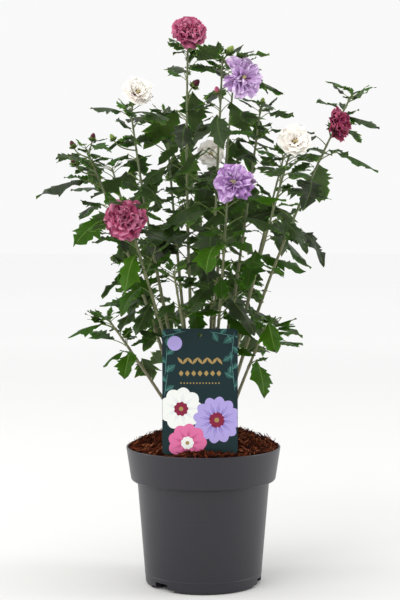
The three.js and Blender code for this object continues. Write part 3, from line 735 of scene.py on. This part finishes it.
def growLeaves(cane, index, curve):
    total = curveLength(curve)
    bare, seed, leafLength = cane[4:]
    draw = drawsFrom(seed)
    firstTurn = draw() * 360
    leaves, nodes, back, order = [], [], rule["firstNode"], 0
    while back < total - bare:
        share = 1 - back / total
        root, along = curvePoint(curve, share), curveAlong(curve, share)
        outward = atan2(root[1], root[0]) / degree
        full = leafLength * ramp(rule["young"], back) * draw(*rule["sizeDraw"])
        hasAxil = draw() < rule["axilChance"]
        axilSide = -1 if draw() < 0.5 else 1
        axil = (axilSide * draw(*rule["axilSwing"]), draw(*rule["axilSize"]))
        nodeTurn = firstTurn + order * rule["leafTurn"] + (draw() - 0.5) * rule["turnSpread"]
        nod = (draw() - 0.5) * rule["pitchSpread"]
        roll = (draw() - 0.5) * rule["rollSpread"]
        kept = leaves if share < cutBack.get(cane[0], 1) else []
        for swing, size in [(0, 1)] + ([axil] if hasAxil else []):
            turn, small = nodeTurn + swing, size < 1
            off = fmod(fmod(outward - turn, 360) + 540, 360) - 180
            headings = [turn + off * rule["outwardPull"] + swung for swung in rule["swings"]]
            pitch = ramp(rule["pitch"], back) + nod + small * rule["axilPitch"]
            sprout(kept, root + along * small * rule["axilRise"], along, headings, pitch, roll, full * size,
                   index, order, rule["gaps"], bladeSamples)
        nodes.append({"root": root, "along": along, "back": back, "share": share, "order": order,
                      "turn": nodeTurn})
        back += ramp(rule["spacing"], back) * draw(*rule["spacingDraw"])
        order += 1
    return leaves, nodes


def flowerFrame(flower):
    face = facing(flower[3], flower[4])
    side = unit(np.cross(upward, face))
    return {"centre": np.array(flower[1], float), "face": face, "side": side,
            "top": np.cross(face, side), "radius": flower[2] / 2}


def claimFlower(flower, count):
    for i in range(count):
        height = 1 - (2 * i + 1) / count
        level, turn = sqrt(1 - height * height), i * rule["goldenTurn"]
        spot = np.array([level * cos(turn), level * sin(turn), height])
        claim([spot * flower[2] * rule["flowerReach"] + flower[1]], caneNames.index(flower[0]), -2,
              rule["flowerRadius"])


# Sky between the leaves as the plant is looked at from the front: x and height at its middle, and radius
skySpots = [
    (126, 436, 24), (-44, 442, 15), (115, 419, 24), (-90, 286, 24), (-128, 358, 11), (-107, 760, 14),
    (82, 507, 11), (-182, 468, 20), (160, 380, 18), (-178, 677, 16), (-88, 777, 24), (180, 537, 21),
    (102, 320, 15), (-196, 404, 14), (-35, 714, 11), (80, 264, 23), (-65, 767, 15), (240, 705, 15),
    (142, 422, 24), (130, 575, 10), (98, 608, 10), (13, 737, 9)]
mostSky = {"leaf": 0.2, "young": 0.3}  # share of a leaf's samples that may lie in sky
cutBack = {"low_right": 0.82}  # share of its length that a shortened cane keeps
front = {"x": -5, "away": 2250, "height": 560}


def isInSky(leaf, samples, most):
    spots = pointsOn(leaf, samples)
    nearer = front["away"] / (front["away"] + spots[:, 1])
    x = front["x"] + (spots[:, 0] - front["x"]) * nearer
    z = front["height"] + (spots[:, 2] - front["height"]) * nearer
    inside = [np.hypot(x - spot[0], z - spot[1]) < spot[2] for spot in skySpots]
    return np.any(inside, axis=0).mean() > most


curves = [curveOf(cane) for cane in canes]
for index, curve in enumerate(curves):
    steps = ceil(curveLength(curve) / rule["claimStep"])
    for i in range(steps + 1):
        claim([curvePoint(curve, i / steps)], index, -1, caneRadius(i / steps))
for bloom in blooms:
    claimFlower(bloom, rule["flowerPoints"])
for bud in buds:
    claimFlower(bud, rule["budPoints"])
leaves, nodes = [], []
for index, cane in enumerate(canes):
    grown, caneNodes = growLeaves(cane, index, curves[index])
    leaves += grown
    nodes.append(caneNodes)
grownCount = len(leaves)
leaves = [leaf for leaf in leaves if not isInSky(leaf, bladeSamples, mostSky["leaf"])]
print("grown by the rule:", grownCount, "leaves, kept", len(leaves))


# Finer growth, which the solids leave out: tip whorls, tufts of young leaves in the axils, and short shoots
fine = {
    "gaps": {"other": 4.5, "same": 3, "node": 2.2, "ownStem": 2.2, "otherStem": 3},
    "whorl": 6, "whorlLength": (15, 34), "whorlPitch": (66, 30), "whorlDrop": (0.5, 1.6), "roll": (-20, 20),
    "tuftChance": (0.75, 0.14, 150), "tuft": (1, 3.2), "tuftUp": (1, 8), "tuftTurn": (-90, 90),
    "tuftPitch": (4, 44), "tuftRoll": (-24, 24), "tuftLength": (17, 38), "tuftSwing": 59, "tries": 6,
    "shootChance": 0.1, "shootFrom": 60, "shoot": (16, 42), "shootTurn": (-40, 40), "shootLean": (25, 50),
    "shootUp": 4, "shootRise": 0.12, "shootRadius": (1.0, 0.7), "shootLeaves": 4, "shootPitch": (0, 26),
    "shootLength": (20, 40), "shootSwing": 61,
}
smallSamples = [(0, 0.3), (0, 0.7), (0, 1), (-0.35, 0.45), (0.35, 0.45)]
youngLeaves, shoots = [], []


def sproutSmall(foot, along, heading, swing, pitch, roll, length, cane, order):
    headings = [heading + swing * turn for turn in range(fine["tries"] if swing else 1)]
    sprout(youngLeaves, foot, along, headings, pitch, roll, length, cane, order, fine["gaps"], smallSamples)


def growShoot(node, index, draw):
    length = draw(*fine["shoot"])
    turn, lean = node["turn"] + draw(*fine["shootTurn"]), draw(*fine["shootLean"])
    way = unit(node["along"] * cos(lean * degree) + facing(turn, 0) * sin(lean * degree))

    def spotAt(share):
        rise = way + upward * fine["shootRise"] * share
        return node["root"] + node["along"] * fine["shootUp"] + rise * length * share
    spots = [spotAt(share) for share in (0, 0.25, 0.5, 0.75, 1)]
    if not isFree(spots[1:], index, node["order"], True, fine["gaps"]):
        return
    shoots.append((spots, np.linspace(*fine["shootRadius"], len(spots))))
    claim(spots[1:], index, node["order"], 0)
    for i in range(fine["shootLeaves"]):
        place = (i + 1.5) / (fine["shootLeaves"] + 0.5)
        size = draw(*fine["shootLength"]) * (1.1 - 0.4 * place)
        pitch, roll = draw(*fine["shootPitch"]) + 22 * place, draw(*fine["roll"])
        sproutSmall(spotAt(place), way, turn + i * rule["leafTurn"], fine["shootSwing"], pitch, roll, size,
                    index, node["order"])


def growTuft(node, index, draw):
    for _ in range(int(draw(*fine["tuft"]))):
        foot = node["root"] + node["along"] * draw(*fine["tuftUp"])
        heading, pitch = node["turn"] + draw(*fine["tuftTurn"]), draw(*fine["tuftPitch"])
        roll = draw(*fine["tuftRoll"])
        sproutSmall(foot, node["along"], heading, fine["tuftSwing"], pitch, roll, draw(*fine["tuftLength"]),
                    index, node["order"])


def growFine(cane, index, curve, caneNodes):
    draw = drawsFrom(cane[5] + 1000)
    end = cutBack.get(cane[0], 1)
    tip, along = curvePoint(curve, end), curveAlong(curve, end)
    firstTurn = draw(0, 360)
    for i in range(fine["whorl"]):
        share, drop = i / (fine["whorl"] - 1), fine["whorlDrop"][0] + fine["whorlDrop"][1] * i
        length = mix(*fine["whorlLength"], share) * draw(0.85, 1.15)
        sproutSmall(tip - along * drop, along, firstTurn + i * rule["leafTurn"], 0,
                    mix(*fine["whorlPitch"], share), draw(*fine["roll"]), length, index, -10)
    for node in [node for node in caneNodes if node["share"] < end]:
        if draw() < fine["shootChance"] and node["back"] > fine["shootFrom"]:
            growShoot(node, index, draw)
        elif draw() < ramp(fine["tuftChance"], node["back"]):
            growTuft(node, index, draw)


for index, cane in enumerate(canes):
    growFine(cane, index, curves[index], nodes[index])
youngLeaves = [leaf for leaf in youngLeaves if not isInSky(leaf, smallSamples, mostSky["young"])]
print("grown finer:", len(youngLeaves), "young leaves,", len(shoots), "shoots")


# Canes: one relief mesh from the mulch to each tip, swollen at its nodes
bark = {
    "step": 3.0, "girth": 0.94, "swell": 0.2, "swellReach": 2.6, "flare": 0.2, "flareReach": 4,
    "grit": 0.16, "gritSizes": (2.4, 0.8), "greenFrom": [330, 520], "blotch": 80, "blotchSize": 40,
}


def caneStem(cane, curve, caneNodes):
    total = curveLength(curve)
    shares = np.linspace(0, cutBack.get(cane[0], 1), int(total / bark["step"]))
    spots = [curvePoint(curve, s) for s in shares]
    roots = np.array([node["share"] for node in caneNodes])
    radii = []
    for s in shares:
        near = (np.abs(roots - s) * total).min() / bark["swellReach"]
        swell = bark["swell"] * exp(-near * near)
        foot = bark["flare"] * exp(-s * total / bark["flareReach"])
        radii.append(caneRadius(s) * bark["girth"] * (1 + swell + foot))
    return spots, radii


caneMesh = stemsMesh("cane_bark", [caneStem(cane, curves[i], nodes[i]) for i, cane in enumerate(canes)], 3)
for v in caneMesh.vertices:
    coarse, small = [noise.noise(v.co / (size * mm)) for size in bark["gritSizes"]]
    v.co += v.normal * (coarse + 0.5 * small) * bark["grit"] * mm
for face in caneMesh.polygons:
    height = face.center.z / mm + noise.noise(face.center / (bark["blotchSize"] * mm)) * bark["blotch"]
    face.material_index = int(np.searchsorted(bark["greenFrom"], height, "right"))
barks = [youngBark("fawnBark", "#8f8a72", "#6b674f"), youngBark("oliveBark", "#7c7e5c", "#5a5d40"),
         youngBark("greenStem", "#727a58", "#50583c")]
addPiece("cane_bark", caneMesh, barks, ["cane_" + name for name in caneNames])


# Leaf: rows from stalk to tip, each with its place on the midrib, its place at the edge and its half width
leafRows = [
    (0, 0, 0.012), (0.10, 0.13, 0.105), (0.19, 0.24, 0.19), (0.26, 0.28, 0.185), (0.34, 0.41, 0.265),
    (0.40, 0.43, 0.245), (0.47, 0.58, 0.31), (0.54, 0.575, 0.215), (0.61, 0.66, 0.205), (0.69, 0.68, 0.155),
    (0.77, 0.80, 0.15), (0.88, 0.885, 0.075), (1, 1, 0.004)]
youngRows = [
    (0, 0, 0.015), (0.12, 0.16, 0.14), (0.26, 0.32, 0.225), (0.36, 0.40, 0.20), (0.46, 0.56, 0.28),
    (0.58, 0.61, 0.18), (0.70, 0.75, 0.16), (0.85, 0.87, 0.075), (1, 1, 0.004)]
leafThickness, ribWidth = 0.012, 0.015  # shares of its length


# One leaf as a closed lens: an upper sheet with a raised midrib and an underside, with one rim for both
def leafMaster(rows, seed):
    draw = drawsFrom(seed)
    lobes, teeth, wave, phase = draw(0.8, 1.02), draw(1.0, 1.8), draw(0.03, 0.065), draw(0, 6)
    last = len(rows) - 1
    rim = {}
    for row, (middle, edge, half) in enumerate(rows):
        smooth = (rows[max(0, row - 1)][2] + rows[min(last, row + 1)][2]) / 2
        half = (smooth + (half - smooth) * teeth) * (lobes if 0.3 < middle < 0.5 else 1)
        for side in (-1, 1):
            y = edge + 0.012 * draw(-1, 1) if row % last else edge
            z = wave * sin(phase + 11 * y + side) + 0.02 * (-1) ** row
            rim[row, side] = Vector((side * max(0.004, half), y, z))
    bm = bmesh.new()
    layer = bm.loops.layers.uv.verify()
    for columns, lift in ((4, 1), (2, -1)):
        old = set(bm.faces)
        verts = bmesh.ops.create_grid(bm, x_segments=columns, y_segments=last, size=1)["verts"]
        for v in verts:
            column, row = round(v.co.x * columns / 2), round((v.co.y + 1) / 2 * last)
            edge = rim[row, 1 if column > 0 else -1]
            raised = lift * leafThickness / 2 if 0 < row < last else 0
            if abs(column) == columns // 2:
                v.co = edge
            elif column == 0:
                v.co = (0, rows[row][0], raised * (0.5 if lift > 0 else 1))
            else:
                share = min(0.4, ribWidth * (1 - 0.7 * rows[row][0]) / abs(edge.x))
                v.co = Vector((0, rows[row][0], raised)).lerp(edge, share)
        for face in set(bm.faces) - old:
            for loop in face.loops:
                loop[layer].uv = (0.5 + loop.vert.co.x, loop.vert.co.y)
            onRib = columns == 4 and max(abs(v.co.x) for v in face.verts) < 1.2 * ribWidth
            face.material_index = 1 if lift < 0 else 2 if onRib else 0
            face.normal_update()
            if face.normal.z * lift < 0:
                face.normal_flip()
    bmesh.ops.remove_doubles(bm, verts=bm.verts, dist=1e-5)
    return masterOf(bm)


leafMasters = [leafMaster(leafRows, seed) for seed in range(101, 109)]
youngMasters = [leafMaster(youngRows, seed) for seed in range(201, 206)]
leafTones = ["#1b260e", "#21330d", "#274508", "#2b4a08", "#31530c"]  # deep, dark, mid, fresh, bright
leafUnders = ["#40542a", "#4b652a"]  # undersides, the second of a bright leaf
leafRibs = ["#3d5122", "#4f6e2a"]  # midribs, the second of a fresh or bright leaf
leafShrink = 0.92  # against the leaf of the solids
leafBend = {"arch": (0.1, 0.42), "sweep": (-0.14, 0.14), "fold": (-0.5, 0.25), "curl": (-0.1, 0.3)}
freshness = {"height": 340, "over": 260, "low": 1.0, "high": 0.1, "young": 0.15}
stalk = {"places": (0, 0.3, 0.55, 0.8, 1), "reach": 0.55, "lift": 0.1, "radii": (0.45, 0.85, 80),
         "girths": [1.35, 1, 0.92, 0.88, 0.9, 0.5]}


def leafTone(leaf, draw, young):  # fresher greens low on the plant
    climb = (leaf["base"][2] - freshness["height"]) / freshness["over"]
    fresh = mix(freshness["low"], freshness["high"], climb) + (freshness["young"] if young else 0)
    pick = draw()
    tones = ((4, 0.03), (3, 0.03 + 0.34 * fresh), (2, 0.14 + 0.78 * fresh), (1, 0.78 + 0.1 * fresh), (0, 1))
    return next(tone for tone, limit in tones if pick < limit)


def addLeaf(batch, leaf, masters, draw, young):
    master = masters[int(draw() * len(masters))]
    x, y, z = master["points"].T
    arch, sweep, fold, curl = [draw(*limits) for limits in leafBend.values()]
    z = z - arch * y ** 2 - rule["bladeArch"] * (x / rule["bladeWidth"]) ** 2
    z = z + fold * np.abs(x) - curl * np.clip(y - 0.6, 0, 1) ** 2
    x = x + sweep * y ** 2
    points = np.outer(x, leaf["side"]) + np.outer(y, leaf["axis"]) + np.outer(z, leaf["top"])
    points = leaf["base"] + points * leaf["length"] * leafShrink
    tone = leafTone(leaf, draw, young)
    # upper side, underside and midrib
    skins = np.array([tone, 6 if tone == 4 else 5, 8 if tone > 2 else 7])
    addCopy(batch, master, points, skins[master["slots"]])


leafDraw = drawsFrom(77)
crown, tufts = [], []
for leaf in leaves:
    addLeaf(crown, leaf, leafMasters, leafDraw, False)
for leaf in youngLeaves:
    addLeaf(tufts, leaf, youngMasters, leafDraw, True)
leafShines = [0.2, 0.18, 0.1, 0.08, 0.08]  # the dark upper leaves have more wax
leafSkins = [leafSkin("leafGreen" + str(i), leafTones[i], 0.42, leafShines[i], 0.12) for i in range(5)]
leafSkins += [leafSkin("leafUnder" + str(i), code, 0.6, 0.15, 0.15) for i, code in enumerate(leafUnders)]
leafSkins += [leafSkin("leafRib" + str(i), code, 0.5, 0.15, 0.1) for i, code in enumerate(leafRibs)]
foliageNodes = ["foliage_" + name for name in caneNames]
addPiece("crown_leaves", joined(crown, "crown_leaves", 75), leafSkins, foliageNodes)
addPiece("young_leaves", joined(tufts, "young_leaves", 75), leafSkins)


# Stalk of a leaf: slim, sagging a little before it turns into the blade
def stalkOf(leaf):
    reach = np.linalg.norm(leaf["base"] - leaf["root"])
    bend = leaf["root"] + leaf["rise"] * stalk["reach"] * reach + upward * stalk["lift"] * reach
    spots = [curvePoint((leaf["root"], bend, leaf["base"]), share) for share in stalk["places"]]
    spots.append(leaf["base"] + (leaf["axis"] * 0.04 - leaf["top"] * 0.002) * leaf["length"])
    return spots, ramp(stalk["radii"], leaf["length"]) * np.array(stalk["girths"])


stalkMesh = stemsMesh("leaf_stalks", [stalkOf(leaf) for leaf in leaves + youngLeaves], 0)
addPiece("leaf_stalks", stalkMesh, [youngBark("leafStalk", "#6f7f47", "#52612f")])


# Flowers: petals in rings, each bending outwards from the middle as it goes; shares of the bloom's radius
petalTones = {  # deep (also the painted shade in the petals' fold valleys), middle, light and foot of each kind
    "rose": ["#86284c", "#a64469", "#c06f8e", "#4f1026"],
    "wine": ["#63122b", "#86203f", "#a34262", "#33060f"],
    "lilac": ["#8d5f9e", "#a87cb8", "#c5a4d2", "#7a2f63"],
    "loose": ["#b38ac2", "#c9a6d7", "#e0c9ea", "#6d1f3c"],
    "white": ["#fbf0e6", "#fcf5ed", "#fdfaf5", "#8f1f3e"],
}
budTones = {"budWine": "#43101f", "budPink": "#a8506a", "budGreen": "#7f9448"}
petalFoot = {"rose": 0.16, "wine": 0.18, "lilac": 0.2, "loose": 0.26, "white": 0.34}
bloomRings = {  # count, length, open at the foot, open at the rim, width, ruffle
    "rose": [(5, 1.04, 60, 100, 0.60, 0.08), (6, 1.0, 46, 80, 0.54, 0.10), (6, 0.9, 32, 62, 0.46, 0.12),
             (6, 0.74, 18, 48, 0.38, 0.13), (5, 0.54, 6, 34, 0.28, 0.13)],
    "wine": [(6, 1.1, 62, 68, 0.50, 0.06), (6, 1.1, 44, 46, 0.46, 0.08), (6, 1.06, 28, 30, 0.40, 0.10),
             (5, 0.95, 14, 22, 0.32, 0.12)],
    "lilac": [(6, 1.08, 58, 100, 0.42, 0.08), (6, 0.96, 44, 84, 0.36, 0.10), (7, 0.76, 30, 68, 0.24, 0.12),
              (5, 0.5, 16, 46, 0.16, 0.12)],
    "loose": [(6, 1.2, 60, 94, 0.38, 0.08), (7, 1.06, 46, 78, 0.27, 0.11), (6, 0.82, 30, 60, 0.17, 0.12)],
    "white": [(5, 1.08, 50, 86, 0.62, 0.035), (5, 0.98, 34, 66, 0.54, 0.045), (5, 0.8, 18, 46, 0.38, 0.06)],
}
petalWidth = ([0, 0.15, 0.4, 0.7, 0.9, 1], [0.16, 0.34, 0.74, 1.0, 0.95, 0.7])
sepalWidth = ([0, 0.2, 0.5, 0.8, 1], [0.7, 1.0, 0.85, 0.45, 0.03])
bractWidth = ([0, 0.3, 0.7, 1], [0.8, 1.0, 0.8, 0.2])
furl = {
    "girth": ([0, 0.25, 0.55, 0.8, 0.93, 1], [0.5, 0.92, 1.0, 0.72, 0.4, 0.05]), "columns": 15, "rows": 8,
    "pleats": 5, "twist": 4.2, "pleat": 0.14, "width": 0.62, "length": 2.1,
}


# How each small part lies on its flower: length, angles at foot and rim, width, cup and set-back
laid = {
    "sepal": (0.5, 75, 30, 0.5, 0.4, 0.56), "bract": (0.42, 110, 60, 0.1, 0.2, 0.58),
    "budSepal": (1.7, 66, -18, 0.56, 0.6, 1.0), "budBract": (1.5, 80, 40, 0.12, 0.2, 1.0),
}
twig = {"from": 50, "to": 99, "below": 12, "bend": 0.4, "points": 8, "radii": (1.25, 1.0)}


def mappedGrid(columns, rows):
    bm = bmesh.new()
    layer = bm.loops.layers.uv.verify()
    bmesh.ops.create_grid(bm, x_segments=columns, y_segments=rows, size=1)
    for face in bm.faces:
        for loop in face.loops:
            loop[layer].uv = ((loop.vert.co.x + 1) / 2, (loop.vert.co.y + 1) / 2)
    return bm


def petalMaster(widths, columns, rows, ruffle, seed):
    draw = drawsFrom(seed)
    phase, skew = draw(0, 6), draw(-0.05, 0.05)
    bm = mappedGrid(columns, rows)
    for v in bm.verts:
        across, along = v.co.x, (v.co.y + 1) / 2
        half = float(np.interp(along, *widths))
        scallop = 0.05 * sin(7 * across + phase) + 0.03 * sin(14 * across - phase)
        lip = along ** 3 * (scallop - 0.16 * across * across)
        wave = along ** 2 * sin(6.2 * across + phase + 2.5 * along)
        wave += 0.5 * along ** 3 * sin(12 * across - 2 * phase - 4 * along)
        wave += 1.1 * along * (1 - 0.7 * along) * cos(8 * across + 2 * phase)  # folds along the petal
        v.co = (across * half + skew * along, along + lip, ruffle * wave)
    master = masterOf(bm)
    across, along = master["map"].reshape(-1, 4, 2).mean(1).T
    # the tone deepens towards the foot, and in the valleys of the folds as painted shade; it lightens
    # towards the sides
    paintedFoldShade = np.cos(8 * (2 * across - 1) + 2 * phase) < -0.3
    master["depth"] = along - 0.22 * paintedFoldShade + 0.12 * np.abs(2 * across - 1)
    return master


# A petal laid on its flower: length, the angles from the face's axis at its foot and rim, width and cup
def layPetal(batch, master, frame, turn, petal, slots):
    length, footAngle, rimAngle, width, cup, back = petal
    x, y, z = master["points"].T
    first, last = footAngle * degree, rimAngle * degree
    angle = first + (last - first) * y
    out = (cos(first) - np.cos(angle)) / (last - first)
    rise = (np.sin(angle) - sin(first)) / (last - first)
    lift = z + cup * x * x
    out = out - lift * np.cos(angle)
    rise = rise + lift * np.sin(angle)
    radial = frame["side"] * cos(turn) + frame["top"] * sin(turn)
    around = frame["top"] * cos(turn) - frame["side"] * sin(turn)
    points = np.outer(out, radial) + np.outer(x * width, around) + np.outer(rise, frame["face"])
    centre = frame["centre"] - frame["face"] * back * frame["radius"]
    addCopy(batch, master, centre + points * length * frame["radius"], slots)


petalMasters = [petalMaster(petalWidth, 8, 8, 1, seed) for seed in range(301, 309)]
sepalMaster = petalMaster(sepalWidth, 2, 5, 0, 401)
bractMaster = petalMaster(bractWidth, 2, 4, 0, 402)
kinds = list(petalTones)
flowers, greens, twigs = [], [], []


def layBloom(bloom, draw):
    frame, kind = flowerFrame(bloom), bloom[5]
    first = 5 * kinds.index(kind)
    for number, (count, length, footAngle, rimAngle, width, ruffle) in enumerate(bloomRings[kind]):
        start = draw(0, 6.28)
        for i in range(count):
            base = petalMasters[int(draw() * len(petalMasters))]
            master = dict(base, points=base["points"] * (1, 1, ruffle * draw(0.8, 1.5)))
            turn = start + (i + draw(-0.16, 0.16)) * 2 * pi / count
            petal = (length * draw(0.9, 1.06), footAngle + draw(-6, 6), rimAngle + draw(-12, 10),
                     width * draw(0.9, 1.1), draw(-0.05, 0.30), 0.34 - 0.03 * number)
            shift = draw(-0.28, 0.22) - (0.14 if number == 0 else 0)
            # tone by depth: darker towards the foot, and darker in the fold valleys as painted shade
            rank = np.searchsorted([0.45, 0.85], master["depth"] + shift)
            slots = first + np.where(master["depth"] < petalFoot[kind], 3, rank)
            layPetal(flowers, master, frame, turn, petal, slots)
    for i in range(9):  # narrow petals that stand in the heart
        master = dict(petalMasters[i % 8], points=petalMasters[i % 8]["points"] * (1, 1, 0.1))
        turn = draw(0, 6.28)
        petal = (draw(0.24, 0.42), 4, 30 + draw(0, 20), 0.13, 0.4, 0.24)
        layPetal(flowers, master, frame, turn, petal, first + (0 if kind in ("rose", "wine") else 4))
    layCalyx(frame, [i * 2 * pi / 5 for i in range(5)], laid["sepal"], laid["bract"])
    addTwig(bloom, frame, 0.5 * rule["calyxDrop"])


def layCalyx(frame, turns, sepal, bract):
    for turn in turns:
        layPetal(greens, sepalMaster, frame, turn, sepal, 0)
    for i in range(7):
        layPetal(greens, bractMaster, frame, i * 2 * pi / 7, bract, 1)


# Twig from the nearest place on the cane, rather below than above it, into the calyx
def addTwig(flower, frame, drop):
    base = frame["centre"] - frame["face"] * drop * frame["radius"]
    curve = curves[caneNames.index(flower[0])]
    roots = [curvePoint(curve, step / 100) for step in range(twig["from"], twig["to"])]
    root = min(roots, key=lambda spot: (
        np.linalg.norm(spot - base) + 2 * max(0, spot[2] - base[2] + twig["below"])))
    bend = base - frame["face"] * twig["bend"] * np.linalg.norm(root - base)
    shares = np.linspace(0, 1, twig["points"])
    twigs.append(([curvePoint((root, bend, base), share) for share in shares],
                  np.linspace(*twig["radii"], twig["points"])))


# The furled petals of a bud: one sheet rolled round, with pleats that wind up to its tip
def furledTip():
    bm = mappedGrid(furl["columns"], furl["rows"])
    for v in bm.verts:
        turn, along = v.co.x * pi, (v.co.y + 1) / 2
        girth = float(np.interp(along, *furl["girth"]))
        girth *= 1 + furl["pleat"] * along * sin(furl["pleats"] * turn + furl["twist"] * along)
        v.co = (girth * cos(turn), girth * sin(turn), along)
    bmesh.ops.remove_doubles(bm, verts=bm.verts, dist=1e-5)
    bmesh.ops.recalc_face_normals(bm, faces=bm.faces)
    return masterOf(bm)


furledMaster = furledTip()


def layBud(bud, draw):
    frame = flowerFrame(bud)
    x, y, z = (furledMaster["points"] * (furl["width"], furl["width"], furl["length"])).T * frame["radius"]
    points = np.outer(x, frame["side"]) + np.outer(y, frame["top"]) + np.outer(z, frame["face"])
    addCopy(flowers, furledMaster, points + frame["centre"] - frame["face"] * 0.9 * frame["radius"],
            5 * len(kinds) + list(budTones).index(bud[5]))
    turns = [i * 2 * pi / 5 + draw(-0.2, 0.2) + 0.6 for i in range(5)]
    layCalyx(frame, turns, laid["budSepal"], laid["budBract"])
    addTwig(bud, frame, 1)


flowerDraw = drawsFrom(55)
for bloom in blooms:
    layBloom(bloom, flowerDraw)
for bud in buds:
    layBud(bud, flowerDraw)
petalSkins = []
for kind, tones in petalTones.items():
    through, depth = (0.5, 3) if kind == "white" else (0.15, 4)
    petalSkins += [petalSkin(kind + "Petal" + str(i), code, through, depth) for i, code in enumerate(tones)]
    petalSkins.append(petalSkin(kind + "Heart", "#d9cf9c", 0.2))
petalSkins += [petalSkin(name, code, 0.1) for name, code in budTones.items()]


def thickened(batch, thickness, name):
    settings = {"thickness": thickness * mm, "offset": 0}
    return modified(joined(batch, name, 75), name, 75, "SOLIDIFY", settings)


addPiece("petals", thickened(flowers, 0.3, "petals"), petalSkins)
calyxSkins = [leafSkin("sepalGreen", "#5f7838", 0.5, 0.2, 0.15),
              leafSkin("bractGreen", "#4a622c", 0.5, 0.2, 0.1)]
addPiece("calyces", thickened(greens, 0.5, "calyces"), calyxSkins)
addPiece("flower_twigs", stemsMesh("flower_twigs", twigs + shoots, 1),
         [youngBark("youngShoot", "#6c7a48", "#4c5731")])


# Studio: a wide sheet of pale paper with painted light, darker near the pot and lighter as it fades into
# the light air round it, a large soft light from the left front and fills round it
studio = {
    "radius": 16, "fade": 6,
    # tone of the paper by share of the fade distance from the pot: painted light, darker near the pot and
    # lighter far out
    "tones": [(0.1, "#d2d2d1"), (0.18, "#d8d8d7"), (0.35, "#e4e4e4"), (0.68, "#f7f7f7"), (1.0, "#fcfcfc")],
    # place, aim, size, power and tint of each softbox
    "lights": {
        "keySoftbox": ((-1.7, -1.9, 2.3), (0, 0, 0.4), (2.6, 2.6), 56, "#fffdf8"),
        "leftStrip": ((-1.9, 0.1, 0.8), (0, 0, 0.35), (0.7, 1.8), 14, "#ffffff"),
        "rightStrip": ((1.9, -0.1, 0.8), (0, 0, 0.35), (0.7, 1.8), 19, "#ffffff"),
        "topSoftbox": ((0.1, 0.2, 2.8), (0, 0, 0), (2.0, 2.0), 20, "#ffffff")},
    "air": 0.95, "lens": 91.2, "sensor": 36, "eye": (-0.005, -2.25, 0.56), "pitch": -3.5,
}


# Matt studio paper, pale, with painted light: its tone is darker near the pot and lighter with its distance
# from it
def paperWithPaintedLight():
    material, addNode = newMaterial("paperWithPaintedLight")
    place = addNode("ShaderNodeTexCoord", {}, "Object")
    away = addNode("ShaderNodeVectorMath", {"operation": "LENGTH", 0: place}, "Value")
    share = addNode("ShaderNodeMapRange", {"From Max": studio["fade"], "Value": away})
    tint = addNode("ShaderNodeValToRGB",
                   {"stops": [(far, shade(tone)) for far, tone in studio["tones"]], "Fac": share})
    return finished(material, {"Base Color": tint, "Roughness": 0.9, "Specular IOR Level": 0.1})


sheet = bmesh.new()
bmesh.ops.create_circle(sheet, cap_ends=True, segments=96, radius=studio["radius"])
floor = placeObject("paper_floor", meshOf(sheet, "paper_floor"))
floor.data.materials.append(paperWithPaintedLight())

for name, (place, aim, size, power, tint) in studio["lights"].items():
    lamp = bpy.data.lights.new(name, "AREA")
    lamp.shape = "RECTANGLE"
    lamp.size, lamp.size_y = size
    lamp.energy = power
    lamp.color = shade(tint)[:3]
    holder = placeObject(name, lamp)
    holder.location = place
    holder.rotation_euler = (Vector(aim) - Vector(place)).to_track_quat("-Z", "Y").to_euler()
    holder.visible_camera = False

world = bpy.data.worlds.new("studioAir")
world.use_nodes = True
air = world.node_tree.nodes["Background"]
air.inputs["Color"].default_value = shade("#ffffff")
air.inputs["Strength"].default_value = studio["air"]
bpy.context.scene.world = world
bpy.context.scene.view_settings.view_transform = "Standard"

camera = placeObject("camera", bpy.data.cameras.new("camera"))
camera.data.lens = studio["lens"]
camera.data.sensor_width = studio["sensor"]
camera.location = studio["eye"]
camera.rotation_euler = ((90 + studio["pitch"]) * degree, 0, 0)
bpy.context.scene.camera = camera
print("studio ready")

bpy.context.view_layer.update()
